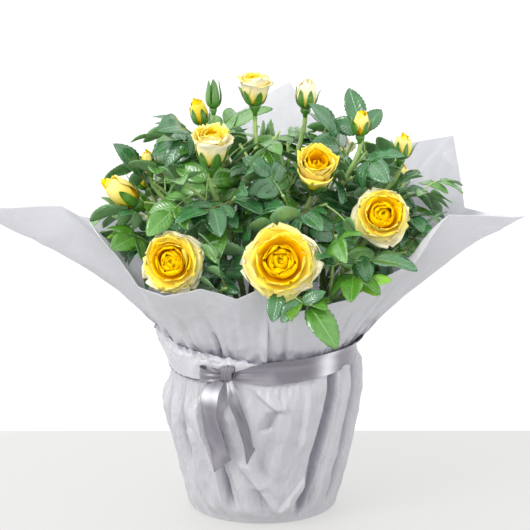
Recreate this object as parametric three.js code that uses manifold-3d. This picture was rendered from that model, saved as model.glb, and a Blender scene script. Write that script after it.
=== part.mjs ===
// A miniature yellow rose bush in a 12 cm pot, gift-wrapped in one square of silver paper
// that is tied round the pot with a satin ribbon and flares up round the bush as a collar.
// Millimetres, +Z up. The origin is the middle of the flat underside of the wrapped pot,
// the front is -Y, and angles run anticlockwise from +X as seen from above.

import * as THREE from "three";
import { mergeVertices } from "three/addons/utils/BufferGeometryUtils.js";
import Module from "manifold-3d";

const wasm = await Module();
wasm.setup();

// ---------------------------------------------------------------- driving dimensions

const gap = 0.35; // between pieces that touch
const smallest = [0.05, 0.07, 0.1, 0.03, 0.15]; // steps in a joint of leaf and twig that are left out
const paper = { thick: 1.2, foot: 49, neckRadius: 65, neckTop: 124 };
const pot = { rim: 60, foot: 43, height: 110, wall: 1.6, base: 2.2, lip: 9, lipOut: 1.8 };
const soil = { top: 101.5 };
const ribbon = { radius: 66.8, thick: 1.1, low: 110.6, high: 123.7, width: 13 };
const knotAngle = 250; // where the ribbon is tied, left of the front
const stock = { flare: 14, neck: 9, tip: 7, height: 15 }; // the short woody foot of the bush
const caneSize = { foot: 3, tip: 2.3 };
const boughSize = { foot: 2.1, tip: 1.9 };
const stemSize = { foot: 1.9, tip: 1.6 };
const sideSize = { foot: 1.3, tip: 1.2 };
const stalkSize = { foot: 0.7, tip: 0.6 };
const leafSize = { leaflet: 34, breadth: 0.62, stalk: 34, thick: 0.03 };
const nodeSpacing = 14; // between one leaf and the next on a stem
const goldenAngle = 137.5;
const mostLeaves = 3; // on one stem
const tries = 14; // for the room of one leaf
const spaceShared = 16; // how far a mass may reach in among its neighbour's stems
const clear = { soil: 14, collar: 4, neck: 8, neckInside: 54 }; // of the leaves to what is round them

const colours = {
  paper: 0xd8dae0,
  ribbon: 0x8d8a92,
  pot: 0x3a2a22,
  soil: 0x2e211a,
  bark: 0x4d5a2c,
  leaf: 0x24592f,
};

// ---------------------------------------------------------------- small tools

const { Vector3 } = THREE;
const vec = (x, y, z) => new Vector3(x, y, z);
const up = vec(0, 0, 1);
const radians = THREE.MathUtils.degToRad;
const { lerp, clamp, smoothstep } = THREE.MathUtils;
const polar = (radius, degrees, z) =>
  vec(radius * Math.cos(radians(degrees)), radius * Math.sin(radians(degrees)), z);

// A repeatable number from 0 to 1 for each set of whole numbers.
function dice(a, b = 0, c = 0) {
  const s = Math.sin(a * 127.1 + b * 311.7 + c * 74.7) * 43758.5453;
  return s - Math.floor(s);
}

function geometryFrom(points, faces) {
  const g = new THREE.BufferGeometry();
  g.setAttribute("position", new THREE.Float32BufferAttribute(points.flat(), 3));
  g.setIndex(faces.flat());
  return g;
}

function solid(geometry) {
  const bare = geometry.clone();
  bare.deleteAttribute("normal");
  bare.deleteAttribute("uv");
  const merged = mergeVertices(bare, 1e-4);
  return new wasm.Manifold(
    new wasm.Mesh({
      numProp: 3,
      vertProperties: merged.attributes.position.array,
      triVerts: new Uint32Array(merged.index.array),
    }),
  );
}

function geometryOf(made) {
  const mesh = made.getMesh();
  const g = new THREE.BufferGeometry();
  g.setAttribute("position", new THREE.BufferAttribute(new Float32Array(mesh.vertProperties), 3));
  g.setIndex(new THREE.BufferAttribute(new Uint32Array(mesh.triVerts), 1));
  return g;
}

// True if each edge still has two faces once the corners are rounded as they are in a file.
function staysClosed(geometry, digits) {
  const { position } = geometry.attributes;
  const corner = (i) =>
    [position.getX(i), position.getY(i), position.getZ(i)].map((x) => x.toFixed(digits)).join();
  const edges = new Map();
  const { array } = geometry.index;
  for (let i = 0; i < array.length; i += 3) {
    const face = [0, 1, 2].map((k) => corner(array[i + k]));
    if (new Set(face).size < 3) continue;
    face.forEach((from, k) => {
      const to = face[(k + 1) % 3];
      const edge = from < to ? `${from} ${to}` : `${to} ${from}`;
      edges.set(edge, (edges.get(edge) ?? 0) + 1);
    });
  }
  return [...edges.values()].every((uses) => uses === 2);
}

// The pieces as one body; a leaflet that came loose or a bubble between leaves is left out.
function joined(geometries) {
  const whole = geometries.map(solid).reduce((sum, piece) => sum.add(piece));
  const tried = smallest.map((size) => {
    const bodies = whole.simplify(size).decompose();
    return geometryOf(bodies.sort((a, b) => b.volume() - a.volume())[0]);
  });
  return tried.find((g) => [2, 3, 4].every((digits) => staysClosed(g, digits))) ?? tried[0];
}

// A wall between two surfaces: front(u, v) and back(u, v) are points, u and v run from 0 to 1.
function wall(front, back, uSteps, vSteps) {
  const points = [];
  const faces = [];
  const rows = uSteps + 1;
  const sheet = rows * (vSteps + 1);
  for (const side of [front, back])
    for (let j = 0; j <= vSteps; j++)
      for (let i = 0; i <= uSteps; i++) points.push(side(i / uSteps, j / vSteps).toArray());
  const at = (side, i, j) => side * sheet + j * rows + i;
  const quad = (a, b, c, d) => faces.push([a, b, c], [a, c, d]);
  for (let j = 0; j < vSteps; j++)
    for (let i = 0; i < uSteps; i++) {
      quad(at(0, i, j), at(0, i + 1, j), at(0, i + 1, j + 1), at(0, i, j + 1));
      quad(at(1, i, j), at(1, i, j + 1), at(1, i + 1, j + 1), at(1, i + 1, j));
    }
  for (let i = 0; i < uSteps; i++) {
    quad(at(0, i, 0), at(1, i, 0), at(1, i + 1, 0), at(0, i + 1, 0));
    quad(at(0, i, vSteps), at(0, i + 1, vSteps), at(1, i + 1, vSteps), at(1, i, vSteps));
  }
  for (let j = 0; j < vSteps; j++) {
    quad(at(0, 0, j), at(0, 0, j + 1), at(1, 0, j + 1), at(1, 0, j));
    quad(at(0, uSteps, j), at(1, uSteps, j), at(1, uSteps, j + 1), at(0, uSteps, j + 1));
  }
  return geometryFrom(points, faces);
}

// A closed round body from a profile of [radius, z] that starts and ends on the axis.
// shape(radius, z, degrees) gives the radius once the round is folded or lobed.
function turned(profile, segments, shape = (radius) => radius) {
  const g = new THREE.LatheGeometry(
    profile.map(([radius, z]) => new THREE.Vector2(radius, z)),
    segments,
  ).rotateX(Math.PI / 2);
  const p = g.attributes.position;
  for (let i = 0; i < p.count; i++) {
    const radius = Math.hypot(p.getX(i), p.getY(i));
    if (radius < 1e-6) continue; // on the axis
    const degrees = (Math.atan2(p.getY(i), p.getX(i)) * 180) / Math.PI;
    const grown = shape(radius, p.getZ(i), degrees) / radius;
    p.setXYZ(i, p.getX(i) * grown, p.getY(i) * grown, p.getZ(i));
  }
  g.deleteAttribute("normal");
  g.deleteAttribute("uv");
  return mergeVertices(g, 1e-3);
}

// A tapering limb with flat ends along a smooth curve through the points.
function limb(points, footRadius, tipRadius, sides, steps) {
  const curve = new THREE.CatmullRomCurve3(points, false, "centripetal");
  const frames = curve.computeFrenetFrames(steps, false);
  const verts = [];
  const faces = [];
  for (let j = 0; j <= steps; j++) {
    const middle = curve.getPointAt(j / steps);
    const radius = lerp(footRadius, tipRadius, j / steps);
    for (let i = 0; i < sides; i++) {
      const turn = (i / sides) * 2 * Math.PI;
      verts.push(
        middle
          .clone()
          .addScaledVector(frames.normals[j], radius * Math.cos(turn))
          .addScaledVector(frames.binormals[j], radius * Math.sin(turn))
          .toArray(),
      );
    }
  }
  for (let j = 0; j < steps; j++)
    for (let i = 0; i < sides; i++) {
      const a = j * sides + i;
      const b = j * sides + ((i + 1) % sides);
      faces.push([a, b, b + sides], [a, b + sides, a + sides]);
    }
  for (let i = 1; i < sides - 1; i++) {
    faces.push([0, i + 1, i]);
    const last = steps * sides;
    faces.push([last, last + i, last + i + 1]);
  }
  return geometryFrom(verts, faces);
}

// ---------------------------------------------------------------- pot and compost

function potGeometry() {
  const foot = paper.thick + gap;
  const top = pot.height;
  const inside = (z) => lerp(pot.foot, pot.rim, (z - foot) / (top - foot)) - pot.wall;
  const lipLow = top - pot.lip;
  return turned(
    [
      [0, foot],
      [pot.foot, foot],
      [inside(lipLow) + pot.wall, lipLow],
      [inside(lipLow) + pot.wall + pot.lipOut, lipLow],
      [pot.rim + pot.lipOut, top],
      [pot.rim - pot.wall, top],
      [inside(foot + pot.base), foot + pot.base],
      [0, foot + pot.base],
    ],
    24,
  );
}

function soilGeometry() {
  const low = paper.thick + gap + pot.base + gap;
  const foot = paper.thick + gap;
  const radiusAt = (z) =>
    lerp(pot.foot, pot.rim, (z - foot) / (pot.height - foot)) - pot.wall - gap;
  return turned([[0, low], [radiusAt(low), low], [radiusAt(soil.top), soil.top], [0, soil.top]], 24);
}

// ---------------------------------------------------------------- paper round the pot

// The wrapped outline of the pot: [radius, z] up the outside, before it is folded.
const skirtOutline = [
  [paper.foot, 0],
  [54, 2.5],
  [60.5, 26],
  [66, 54],
  [71.2, 82],
  [72, 98],
  [69, 105],
  [paper.neckRadius + 0.3, 109.6],
  [paper.neckRadius, paper.neckTop],
];
const skirtInside = [
  [paper.neckRadius - paper.thick, paper.neckTop],
  [paper.neckRadius - paper.thick, 108.5],
  [66.2, 100],
  [60.8, 54],
  [48, paper.thick],
];
const skirtFolds = { count: 17, deep: 3.6 };

// Folds run from the ribbon to the foot, and die out in the neck.
function skirtFold(z, degrees) {
  const wave = Math.sin(radians(degrees * skirtFolds.count));
  const grip = 1 - smoothstep(z, 98, 112);
  return -skirtFolds.deep * (0.5 - 0.5 * wave) * smoothstep(z, 1, 30) * grip;
}

function skirtGeometry() {
  const profile = [[0, 0], ...skirtOutline, ...skirtInside, [0, paper.thick]];
  const outline = new Set(skirtOutline.map(([radius, z]) => `${radius.toFixed(2)} ${z.toFixed(2)}`));
  return turned(profile, skirtFolds.count * 2, (radius, z, degrees) =>
    outline.has(`${radius.toFixed(2)} ${z.toFixed(2)}`) ? radius + skirtFold(z, degrees) : radius,
  );
}

// ---------------------------------------------------------------- the flared collar

// The collar's cut edge, anticlockwise: angle, radius and height of the edge, and how far the
// sheet bulges up between ribbon and edge. Corners of the square reach furthest.
const collarEdge = [
  [-87, 75, 147, 0],
  [-78, 72.5, 140, 0],
  [-66, 73.5, 139, 0],
  [-49, 82, 147, 1],
  [-30, 121, 197, 2],
  [-24.5, 138, 228, 4],
  [-12.5, 185, 222.5, 7], // right corner
  [5, 166, 212, 4],
  [20, 159, 208.5, 5],
  [33.4, 172.5, 255.5, 5], // right rear corner
  [60, 136, 234.5, 4],
  [80.5, 124, 292, 0], // rear corner
  [105, 121, 263, 2],
  [128.5, 128, 244, 4], // left rear corner
  [163.5, 126, 204, 3],
  [184, 212, 223.5, 24], // left corner
  [194.3, 141.5, 229, 6],
  [200.7, 127, 221, 5],
  [207, 121, 209, 4],
  [219, 107, 180, 2],
  [232.7, 107, 178, 2],
  [246.6, 102, 185, 2],
  [260.2, 95, 178.5, 1],
  [270, 89, 185, 1],
  [273, 88, 184, 1],
];
const collarPleats = { count: 31, deep: 1.5 };

// The edge at an angle, on the straight line between its two neighbours in the list.
function edgeAt(degrees) {
  const next = clamp(
    collarEdge.findIndex((e) => e[0] >= degrees),
    1,
    collarEdge.length - 1,
  );
  const [a, b] = [collarEdge[next - 1], collarEdge[next]];
  const t = clamp((degrees - a[0]) / (b[0] - a[0]), 0, 1);
  const [from, to] = [polar(a[1], a[0], a[2]), polar(b[1], b[0], b[2])];
  const p = from.lerp(to, t);
  return { radius: Math.hypot(p.x, p.y), z: p.z, bulge: lerp(a[3], b[3], t) };
}

// A point of the collar: share 0 is at the ribbon, 1 at the cut edge.
function collarPoint(degrees, share, out = 0) {
  const edge = edgeAt(degrees);
  const start = { radius: paper.neckRadius, z: paper.neckTop + gap };
  const run = edge.radius - start.radius;
  const rise = edge.z - start.z;
  const length = Math.hypot(run, rise);
  const arch = 4 * share * (1 - share) * edge.bulge;
  const pleat =
    collarPleats.deep * Math.sin(radians(degrees * collarPleats.count)) * (1 - share) ** 2;
  const lift = arch + pleat * smoothstep(share, 0, 0.12) - out;
  return polar(
    start.radius + run * share - (rise / length) * lift,
    degrees,
    start.z + rise * share + (run / length) * lift * smoothstep(share, -0.3, 0.1),
  );
}

function collarPanel(from, to, angleSteps) {
  const degreesAt = (u) => lerp(from + 0.15, to - 0.15, u);
  return wall(
    (u, v) => collarPoint(degreesAt(u), v, paper.thick),
    (u, v) => collarPoint(degreesAt(u), v, 0),
    angleSteps,
    3,
  );
}

const collarPanels = {
  collar_right: [-87, 8, 16],
  collar_right_rear: [8, 57, 9],
  collar_rear: [57, 116, 9],
  collar_left_rear: [116, 170, 9],
  collar_left: [170, 212, 10],
  collar_front: [212, 273, 13],
};

// A low cuff of the outer layer laps over the ribbon, left of the knot.
const cuff = { from: 182, to: 268, low: 114, bottomRadius: 69.6 };
function cuffPoint(degrees, v, out) {
  const along = (degrees - cuff.from) / (cuff.to - cuff.from);
  const top = lerp(139, 127.5, smoothstep(along, 0, 1));
  const low = lerp(cuff.low, 125.4, smoothstep(along, 0.4, 0.68));
  const topRadius = lerp(81, 73, smoothstep(along, 0, 0.9));
  return polar(lerp(cuff.bottomRadius, topRadius, v ** 1.3) + out, degrees, lerp(low, top, v));
}

function cuffGeometry() {
  const degreesAt = (u) => lerp(cuff.from, cuff.to, u);
  return wall(
    (u, v) => cuffPoint(degreesAt(u), v, paper.thick),
    (u, v) => cuffPoint(degreesAt(u), v, 0),
    14,
    2,
  );
}

// ---------------------------------------------------------------- ribbon

function ribbonBandGeometry() {
  const outer = ribbon.radius + ribbon.thick;
  const g = new THREE.LatheGeometry(
    [
      [ribbon.radius, ribbon.low],
      [outer, ribbon.low],
      [outer, ribbon.high],
      [ribbon.radius, ribbon.high],
      [ribbon.radius, ribbon.low],
    ].map(([radius, z]) => new THREE.Vector2(radius, z)),
    34,
  ).rotateX(Math.PI / 2);
  return g;
}

function knotGeometry() {
  const g = new THREE.SphereGeometry(1, 10, 6);
  g.scale(6.4, 3.3, 5.6).rotateZ(radians(knotAngle - 270));
  const at = polar(ribbon.radius + ribbon.thick + gap + 3.5, knotAngle, 118.2);
  return g.translate(at.x, at.y, at.z);
}

// A hanging tail: middle line as [degrees, radius, z], and how far its flat side is turned.
const tails = {
  ribbon_tail_long: {
    line: [
      [247.5, 74.2, 111.5],
      [243.5, 77.5, 103],
      [242.5, 77.4, 92],
      [244.5, 75.6, 78],
      [246.5, 73.6, 64],
      [248, 71.8, 52],
    ],
    turn: 0,
  },
  ribbon_tail_short: {
    line: [
      [252.5, 74.2, 111.5],
      [255.5, 76.8, 101],
      [259, 76.3, 88],
      [261.5, 74.8, 76],
      [264.5, 73.4, 62],
    ],
    turn: 28,
  },
};

function tailGeometry({ line, turn }) {
  const curve = new THREE.CatmullRomCurve3(line.map(([d, r, z]) => polar(r, d, z)));
  const across = (t) => {
    const p = curve.getPoint(t);
    const out = vec(p.x, p.y, 0).normalize();
    const side = vec(-out.y, out.x, 0);
    return side.applyAxisAngle(up, radians(turn)).normalize();
  };
  const point = (u, v, out) => {
    const p = curve.getPoint(v);
    const half = (ribbon.width / 2) * lerp(0.55, 1, smoothstep(v, 0, 0.25));
    const slant = v > 0.999 ? (0.5 - u) * 8 : 0; // the cut end is slanted
    const normal = vec(p.x, p.y, 0).normalize();
    return p
      .addScaledVector(across(v), (u * 2 - 1) * half)
      .addScaledVector(normal, out)
      .add(vec(0, 0, slant));
  };
  return wall(
    (u, v) => point(1 - u, v, ribbon.thick),
    (u, v) => point(1 - u, v, 0),
    2,
    8,
  );
}

// ---------------------------------------------------------------- the bush: its plan

// Every bloom: middle, the way it faces, width, and how far it has opened.
const blooms = {
  big: { at: [12.5, -92, 203], face: [-0.05, -0.93, 0.36], wide: 50, stage: "open" },
  leftOpen: { at: [-60.5, -72, 198], face: [-0.2, -0.92, 0.3], wide: 42, stage: "open" },
  rightOpen: { at: [82, -45, 224], face: [0.02, -0.9, 0.42], wide: 39, stage: "open" },
  middle: { at: [38, -38, 258], face: [0.22, -0.6, 0.76], wide: 29, stage: "half" },
  upperLeft: { at: [-34, -45, 275], face: [0.04, -0.32, 0.94], wide: 27, stage: "half" },
  top: { at: [-5, 0, 304], face: [0, -0.15, 0.98], wide: 22, stage: "half" },
  creamBud: { at: [32.5, 20, 298], face: [0.06, -0.1, 0.98], wide: 12, stage: "bud" },
  yellowBud: { at: [-45, 22, 285], face: [-0.22, -0.1, 0.96], wide: 13, stage: "bud" },
  greenBud: { at: [-34, 2, 297], face: [0, 0, 1], wide: 9, stage: "bud" },
  leftBud: { at: [-80.5, 5, 253], face: [-0.15, -0.1, 0.97], wide: 10, stage: "bud" },
  tiltedBud: { at: [-98.5, -25, 236], face: [-0.72, -0.25, 0.62], wide: 19, stage: "bud" },
  rightBud: { at: [68.5, -10, 282], face: [0.03, -0.1, 0.99], wide: 12, stage: "bud" },
  tipBud: { at: [100, 15, 261], face: [0.15, 0, 0.98], wide: 12, stage: "bud" },
  rearOpen: { at: [-46, 62, 240], face: [-0.3, 0.75, 0.55], wide: 42, stage: "open" },
  rearHalf: { at: [52, 62, 247], face: [0.3, 0.6, 0.75], wide: 27, stage: "half" },
  rearBud: { at: [4, 62, 258], face: [0, 0.3, 0.95], wide: 9, stage: "bud" },
  rearRightBud: { at: [96, 52, 232], face: [0.5, 0.3, 0.8], wide: 18, stage: "bud" },
  rearLeftBud: { at: [-88, 46, 232], face: [-0.5, 0.3, 0.8], wide: 12, stage: "bud" },
};

// Each mass grows from the tip of its bough: start point, blooms, tips of its leafy shoots.
const masses = {
  front: {
    cane: 0, start: [9, -48, 158],
    blooms: ["big"],
    tips: [[34, -84, 172], [-14, -62, 206]],
  },
  front_left: {
    cane: 1, start: [-34, -44, 152],
    blooms: ["leftOpen"],
    tips: [[-24, -80, 182], [-66, -54, 174]],
  },
  left: {
    cane: 1, start: [-54, -24, 178],
    blooms: ["tiltedBud"],
    tips: [[-100, -26, 202], [-80, -38, 222]],
  },
  left_high: {
    cane: 2, start: [-50, 4, 196],
    blooms: ["leftBud"],
    tips: [[-76, -8, 240], [-96, 8, 222]],
  },
  upper_left: {
    cane: 0, start: [-20, -26, 196],
    blooms: ["upperLeft"],
    tips: [[-54, -38, 246], [-18, -58, 240]],
  },
  top_left: {
    cane: 2, start: [-26, 12, 222],
    blooms: ["yellowBud", "greenBud"],
    tips: [[-56, 12, 276], [-40, -12, 262]],
  },
  top: {
    cane: 3, start: [-3, 4, 216],
    blooms: ["top"],
    tips: [[12, -8, 276], [-16, 10, 264]],
  },
  top_right: {
    cane: 4, start: [20, 16, 214],
    blooms: ["creamBud"],
    tips: [[44, 10, 270], [18, 20, 262]],
  },
  middle: {
    cane: 6, start: [22, -24, 192],
    blooms: ["middle"],
    tips: [[14, -54, 240], [44, -44, 232]],
  },
  right_high: {
    cane: 5, start: [44, -4, 204],
    blooms: ["rightBud"],
    tips: [[74, 2, 260], [62, -22, 246]],
  },
  right_tip: {
    cane: 5, start: [58, 12, 190],
    blooms: ["tipBud"],
    tips: [[116, 4, 232], [98, -4, 212]],
  },
  right: {
    cane: 6, start: [48, -26, 168],
    blooms: ["rightOpen"],
    tips: [[100, -36, 196], [82, -18, 218]],
  },
  front_right: {
    cane: 6, start: [36, -46, 154],
    blooms: [],
    tips: [[64, -62, 192], [50, -76, 164], [50, -60, 214]],
  },
  rear_left: {
    cane: 3, start: [-30, 34, 176],
    blooms: ["rearOpen"],
    tips: [[-40, 46, 262], [-64, 58, 218]],
  },
  rear: {
    cane: 3, start: [4, 36, 186],
    blooms: ["rearBud"],
    tips: [[20, 52, 248], [-10, 60, 236]],
  },
  rear_right: {
    cane: 4, start: [34, 36, 180],
    blooms: ["rearHalf"],
    tips: [[66, 40, 260], [50, 66, 226]],
  },
  right_rear: {
    cane: 4, start: [56, 34, 172],
    blooms: ["rearRightBud"],
    tips: [[88, 32, 226], [88, 60, 212]],
  },
  left_rear: {
    cane: 2, start: [-54, 28, 178],
    blooms: ["rearLeftBud"],
    tips: [[-78, 40, 210], [-66, 30, 238]],
  },
};

// The canes, each by the angle at which it leaves the foot and the point where it ends.
const canes = [
  { angle: -92, tip: [-4, -30, 138] },
  { angle: -146, tip: [-32, -28, 136] },
  { angle: 172, tip: [-38, 8, 142] },
  { angle: 104, tip: [-8, 26, 140] },
  { angle: 42, tip: [30, 22, 140] },
  { angle: 2, tip: [40, 0, 144] },
  { angle: -46, tip: [28, -30, 138] },
];

// ---------------------------------------------------------------- the bush: stems

const canePath = canes.map(({ angle, tip }) => {
  const foot = polar(stock.neck + gap, angle, soil.top + 8.6);
  const out = polar(stock.neck + 4, angle, soil.top + 9.3);
  const end = vec(...tip);
  const bow = out.clone().lerp(end, 0.55).add(polar(3, angle, -4));
  return [foot, polar(stock.neck + 1.4, angle, foot.z), out, bow, end];
});

// Boughs leave their cane from its tip or, further down, squarely from its side.
const boughPath = {};
canes.forEach((cane, number) => {
  const names = Object.keys(masses).filter((name) => masses[name].cane === number);
  const curve = new THREE.CatmullRomCurve3(canePath[number], false, "centripetal");
  names.forEach((name, k) => {
    const end = vec(...masses[name].start);
    const share = [1, 0.78, 0.58, 0.4][k];
    const at = curve.getPointAt(share);
    const along = curve.getTangentAt(share);
    const away = end.clone().sub(at);
    if (k === 0) {
      const foot = at.clone().addScaledVector(along, gap);
      const lead = foot.clone().addScaledVector(along, 5);
      const stub = foot.clone().addScaledVector(along, 1);
      boughPath[name] = [foot, stub, lead, lead.clone().lerp(end, 0.6), end];
    } else {
      const side = away.addScaledVector(along, -away.dot(along)).normalize();
      const reach = lerp(caneSize.foot, caneSize.tip, share) + gap;
      const foot = at.clone().addScaledVector(side, reach);
      const stub = at.clone().addScaledVector(side, reach + 1);
      const lead = at.clone().addScaledVector(side, reach + 4).addScaledVector(along, 1.4);
      boughPath[name] = [foot, stub, lead, lead.clone().lerp(end, 0.55).add(vec(0, 0, 2)), end];
    }
  });
});

// The stems of a mass: the main one goes on from the bough, and the others leave it in turn
// for the remaining blooms and for the tips of the leafy shoots.
function stemsOf(name) {
  const plan = masses[name];
  const bough = boughPath[name];
  const end = vec(...plan.start);
  const along = new THREE.CatmullRomCurve3(bough, false, "centripetal").getTangentAt(1);
  const foot = end.clone().addScaledVector(along, gap);
  const ends = [
    ...plan.blooms.map((key) => {
      const { at, face, wide, stage } = blooms[key];
      const facing = vec(...face).normalize();
      const depth = { open: 0.2, half: 0.5, bud: 0.8 }[stage] * wide;
      const back = vec(...at).addScaledVector(facing, -depth);
      const bare = stage === "open" ? 16 : 22;
      const before = back.clone().addScaledVector(facing, -bare);
      return { points: [before, back], bloom: key, bare: key === "upperLeft" ? 36 : bare };
    }),
    ...plan.tips.map((tip) => ({ points: [vec(...tip)], bloom: null, bare: 0 })),
  ];
  let main = null;
  return ends.map(({ points, ...rest }, k) => {
    if (!main) {
      const stub = foot.clone().addScaledVector(along, 1);
      const lead = foot.clone().addScaledVector(along, 9);
      const stem = { points: [foot, stub, lead, ...points], size: stemSize, ...rest };
      main = new THREE.CatmullRomCurve3(stem.points, false, "centripetal");
      return stem;
    }
    const start = main.getPointAt((5 + 7 * k) / main.getLength());
    const bow = start.clone().lerp(points[0], 0.45).add(vec(0, 0, 4));
    return { points: [start, bow, ...points], size: sideSize, ...rest };
  });
}

// ---------------------------------------------------------------- the bush: leaves

// A compound leaf: a drooping stalk, one end leaflet, and pairs of leaflets on the way.
function compoundLeaf(root, aim, seed, pairs) {
  const size = leafSize.stalk * (0.85 + 0.3 * dice(seed, 1));
  const droop = 0.2 + 0.4 * dice(seed, 2);
  const bent = (t) => root.clone().addScaledVector(aim, size * t).add(vec(0, 0, -droop * size * t * t));
  const [start, middle, end] = [0, 0.5, 1].map(bent);
  const stalkAt = (t) =>
    t < 0.5 ? start.clone().lerp(middle, t * 2) : middle.clone().lerp(end, t * 2 - 1);
  const wayAt = (t) => aim.clone().add(vec(0, 0, -2 * droop * t)).normalize();
  const tilt = (dice(seed, 3) - 0.5) * 0.9;
  const leaflets = [];
  const addLeaflet = (t, turn, share) => {
    const way = wayAt(t);
    const across = way.clone().cross(up).normalize();
    const normal = across.clone().cross(way).applyAxisAngle(way, tilt).normalize();
    const aimed = way.clone().applyAxisAngle(normal, turn);
    const long = leafSize.leaflet * share * (0.85 + 0.3 * dice(seed, 4 + leaflets.length));
    const sag = vec(0, 0, -0.25 - 0.35 * dice(seed, 9 + leaflets.length));
    const base = stalkAt(t);
    const tip = base.clone().addScaledVector(aimed.add(sag).normalize(), long);
    leaflets.push({ base, tip, normal, long });
  };
  addLeaflet(0.96, 0, 1);
  for (let k = 0; k < pairs; k++) {
    const t = [0.72, 0.36][k];
    for (const side of [1, -1]) addLeaflet(t, side * radians([60, 72][k]), [0.86, 0.7][k]);
  }
  return { stalk: [start, middle, end], leaflets };
}

// A leaflet as a thin closed kite of eight faces, broadest below its middle. From a share
// of its length on, and grown a little, it is also the shape that its room is tried with.
function leafletGeometry({ base, tip, normal, long }, from = 0, grown = 1) {
  const along = tip.clone().sub(base);
  const side = along.clone().cross(normal).normalize();
  const top = side.clone().cross(along).normalize();
  const half = (long * leafSize.breadth * grown) / 2;
  const thick = grown === 1 ? long * leafSize.thick : 2.4;
  const at = (t, across, lift) =>
    base.clone().addScaledVector(along, t).addScaledVector(side, across).addScaledVector(top, lift);
  const points = [
    at(from, 0, 0),
    at(0.42, half, half * 0.2),
    at(grown, 0, 0),
    at(0.42, -half, half * 0.2),
    at(0.42, 0, thick / 2),
    at(0.42, 0, -thick / 2),
  ].map((p) => p.toArray());
  const faces = [];
  for (let i = 0; i < 4; i++) faces.push([4, i, (i + 1) % 4], [5, (i + 1) % 4, i]);
  return geometryFrom(points, faces);
}

// ---------------------------------------------------------------- the bush: what stays clear

const skeletons = Object.fromEntries(
  Object.keys(masses).map((name) => [
    name,
    stemsOf(name).flatMap((stem) => {
      const curve = new THREE.CatmullRomCurve3(stem.points, false, "centripetal");
      return curve.getSpacedPoints(6);
    }),
  ]),
);
const nearest = (p, points) => Math.min(...points.map((q) => p.distanceTo(q)));

// True if a point is over the compost, inside the collar and in the space of its own mass.
function isFree(p, name) {
  const radius = Math.hypot(p.x, p.y);
  if (p.z < soil.top + clear.soil) return false;
  if (radius > clear.neckInside && p.z < paper.neckTop + clear.neck) return false;
  let degrees = (Math.atan2(p.y, p.x) * 180) / Math.PI;
  if (degrees < collarEdge[0][0]) degrees += 360;
  const edge = edgeAt(degrees);
  const share = (radius - paper.neckRadius + 5) / (edge.radius - paper.neckRadius);
  if (share > 0 && p.z < collarPoint(degrees, clamp(share, 0, 1)).z + clear.collar) return false;
  const own = nearest(p, skeletons[name]);
  return Object.keys(masses).every(
    (other) => other === name || nearest(p, skeletons[other]) > own - spaceShared,
  );
}

function leafletCorners({ base, tip, normal, long }) {
  const along = tip.clone().sub(base);
  const side = along.clone().cross(normal).normalize();
  const half = (long * leafSize.breadth) / 2;
  const at = (t, across) => base.clone().addScaledVector(along, t).addScaledVector(side, across);
  return [at(0.42, half), at(0.42, -half), at(1, 0)];
}

// What a new leaf has to miss: limbs, stems, blooms and the leaves that are there already.
const taken = [];
function take(made, owner) {
  taken.push({ made, owner, box: made.boundingBox() });
}
function touches(made, owner) {
  const { min, max } = made.boundingBox();
  return taken.some(
    (other) =>
      other.owner !== owner &&
      [0, 1, 2].every((k) => other.box.min[k] < max[k] && other.box.max[k] > min[k]) &&
      other.made.intersect(made).volume() > 0,
  );
}

// ---------------------------------------------------------------- the bush: blooms

// Profiles from the stalk's end to the middle of the bloom, in shares of its width.
const bloomProfiles = {
  open: [
    [0, -0.26],
    [0.36, -0.1],
    [0.5, 0.03],
    [0.46, 0.1],
    [0.3, 0.16],
    [0.16, 0.22],
    [0, 0.2],
  ],
  half: [
    [0, -0.56],
    [0.13, -0.52],
    [0.33, -0.34],
    [0.43, -0.02],
    [0.5, 0.34],
    [0.42, 0.38],
    [0.26, 0.3],
    [0, 0.36],
  ],
  bud: [
    [0, -0.86],
    [0.44, -0.5],
    [0.5, 0.02],
    [0.3, 0.5],
    [0, 0.82],
  ],
};
const bloomSides = { open: 15, half: 10, bud: 6 };
const lobes = { open: 0.09, half: 0.07, bud: 0 };

function bloomGeometry(key) {
  const { at, face, wide, stage } = blooms[key];
  const profile = bloomProfiles[stage].map(([radius, z]) => [radius * wide, z * wide]);
  const g = turned(profile, bloomSides[stage], (radius, z, degrees) => {
    const lobe = Math.cos(radians(degrees * 5));
    return radius * (1 + lobes[stage] * lobe * smoothstep(radius, 0.2 * wide, 0.5 * wide));
  });
  const turn = new THREE.Quaternion().setFromUnitVectors(up, vec(...face).normalize());
  return g.applyQuaternion(turn).translate(...at);
}

// ---------------------------------------------------------------- the bush: its growth

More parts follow.
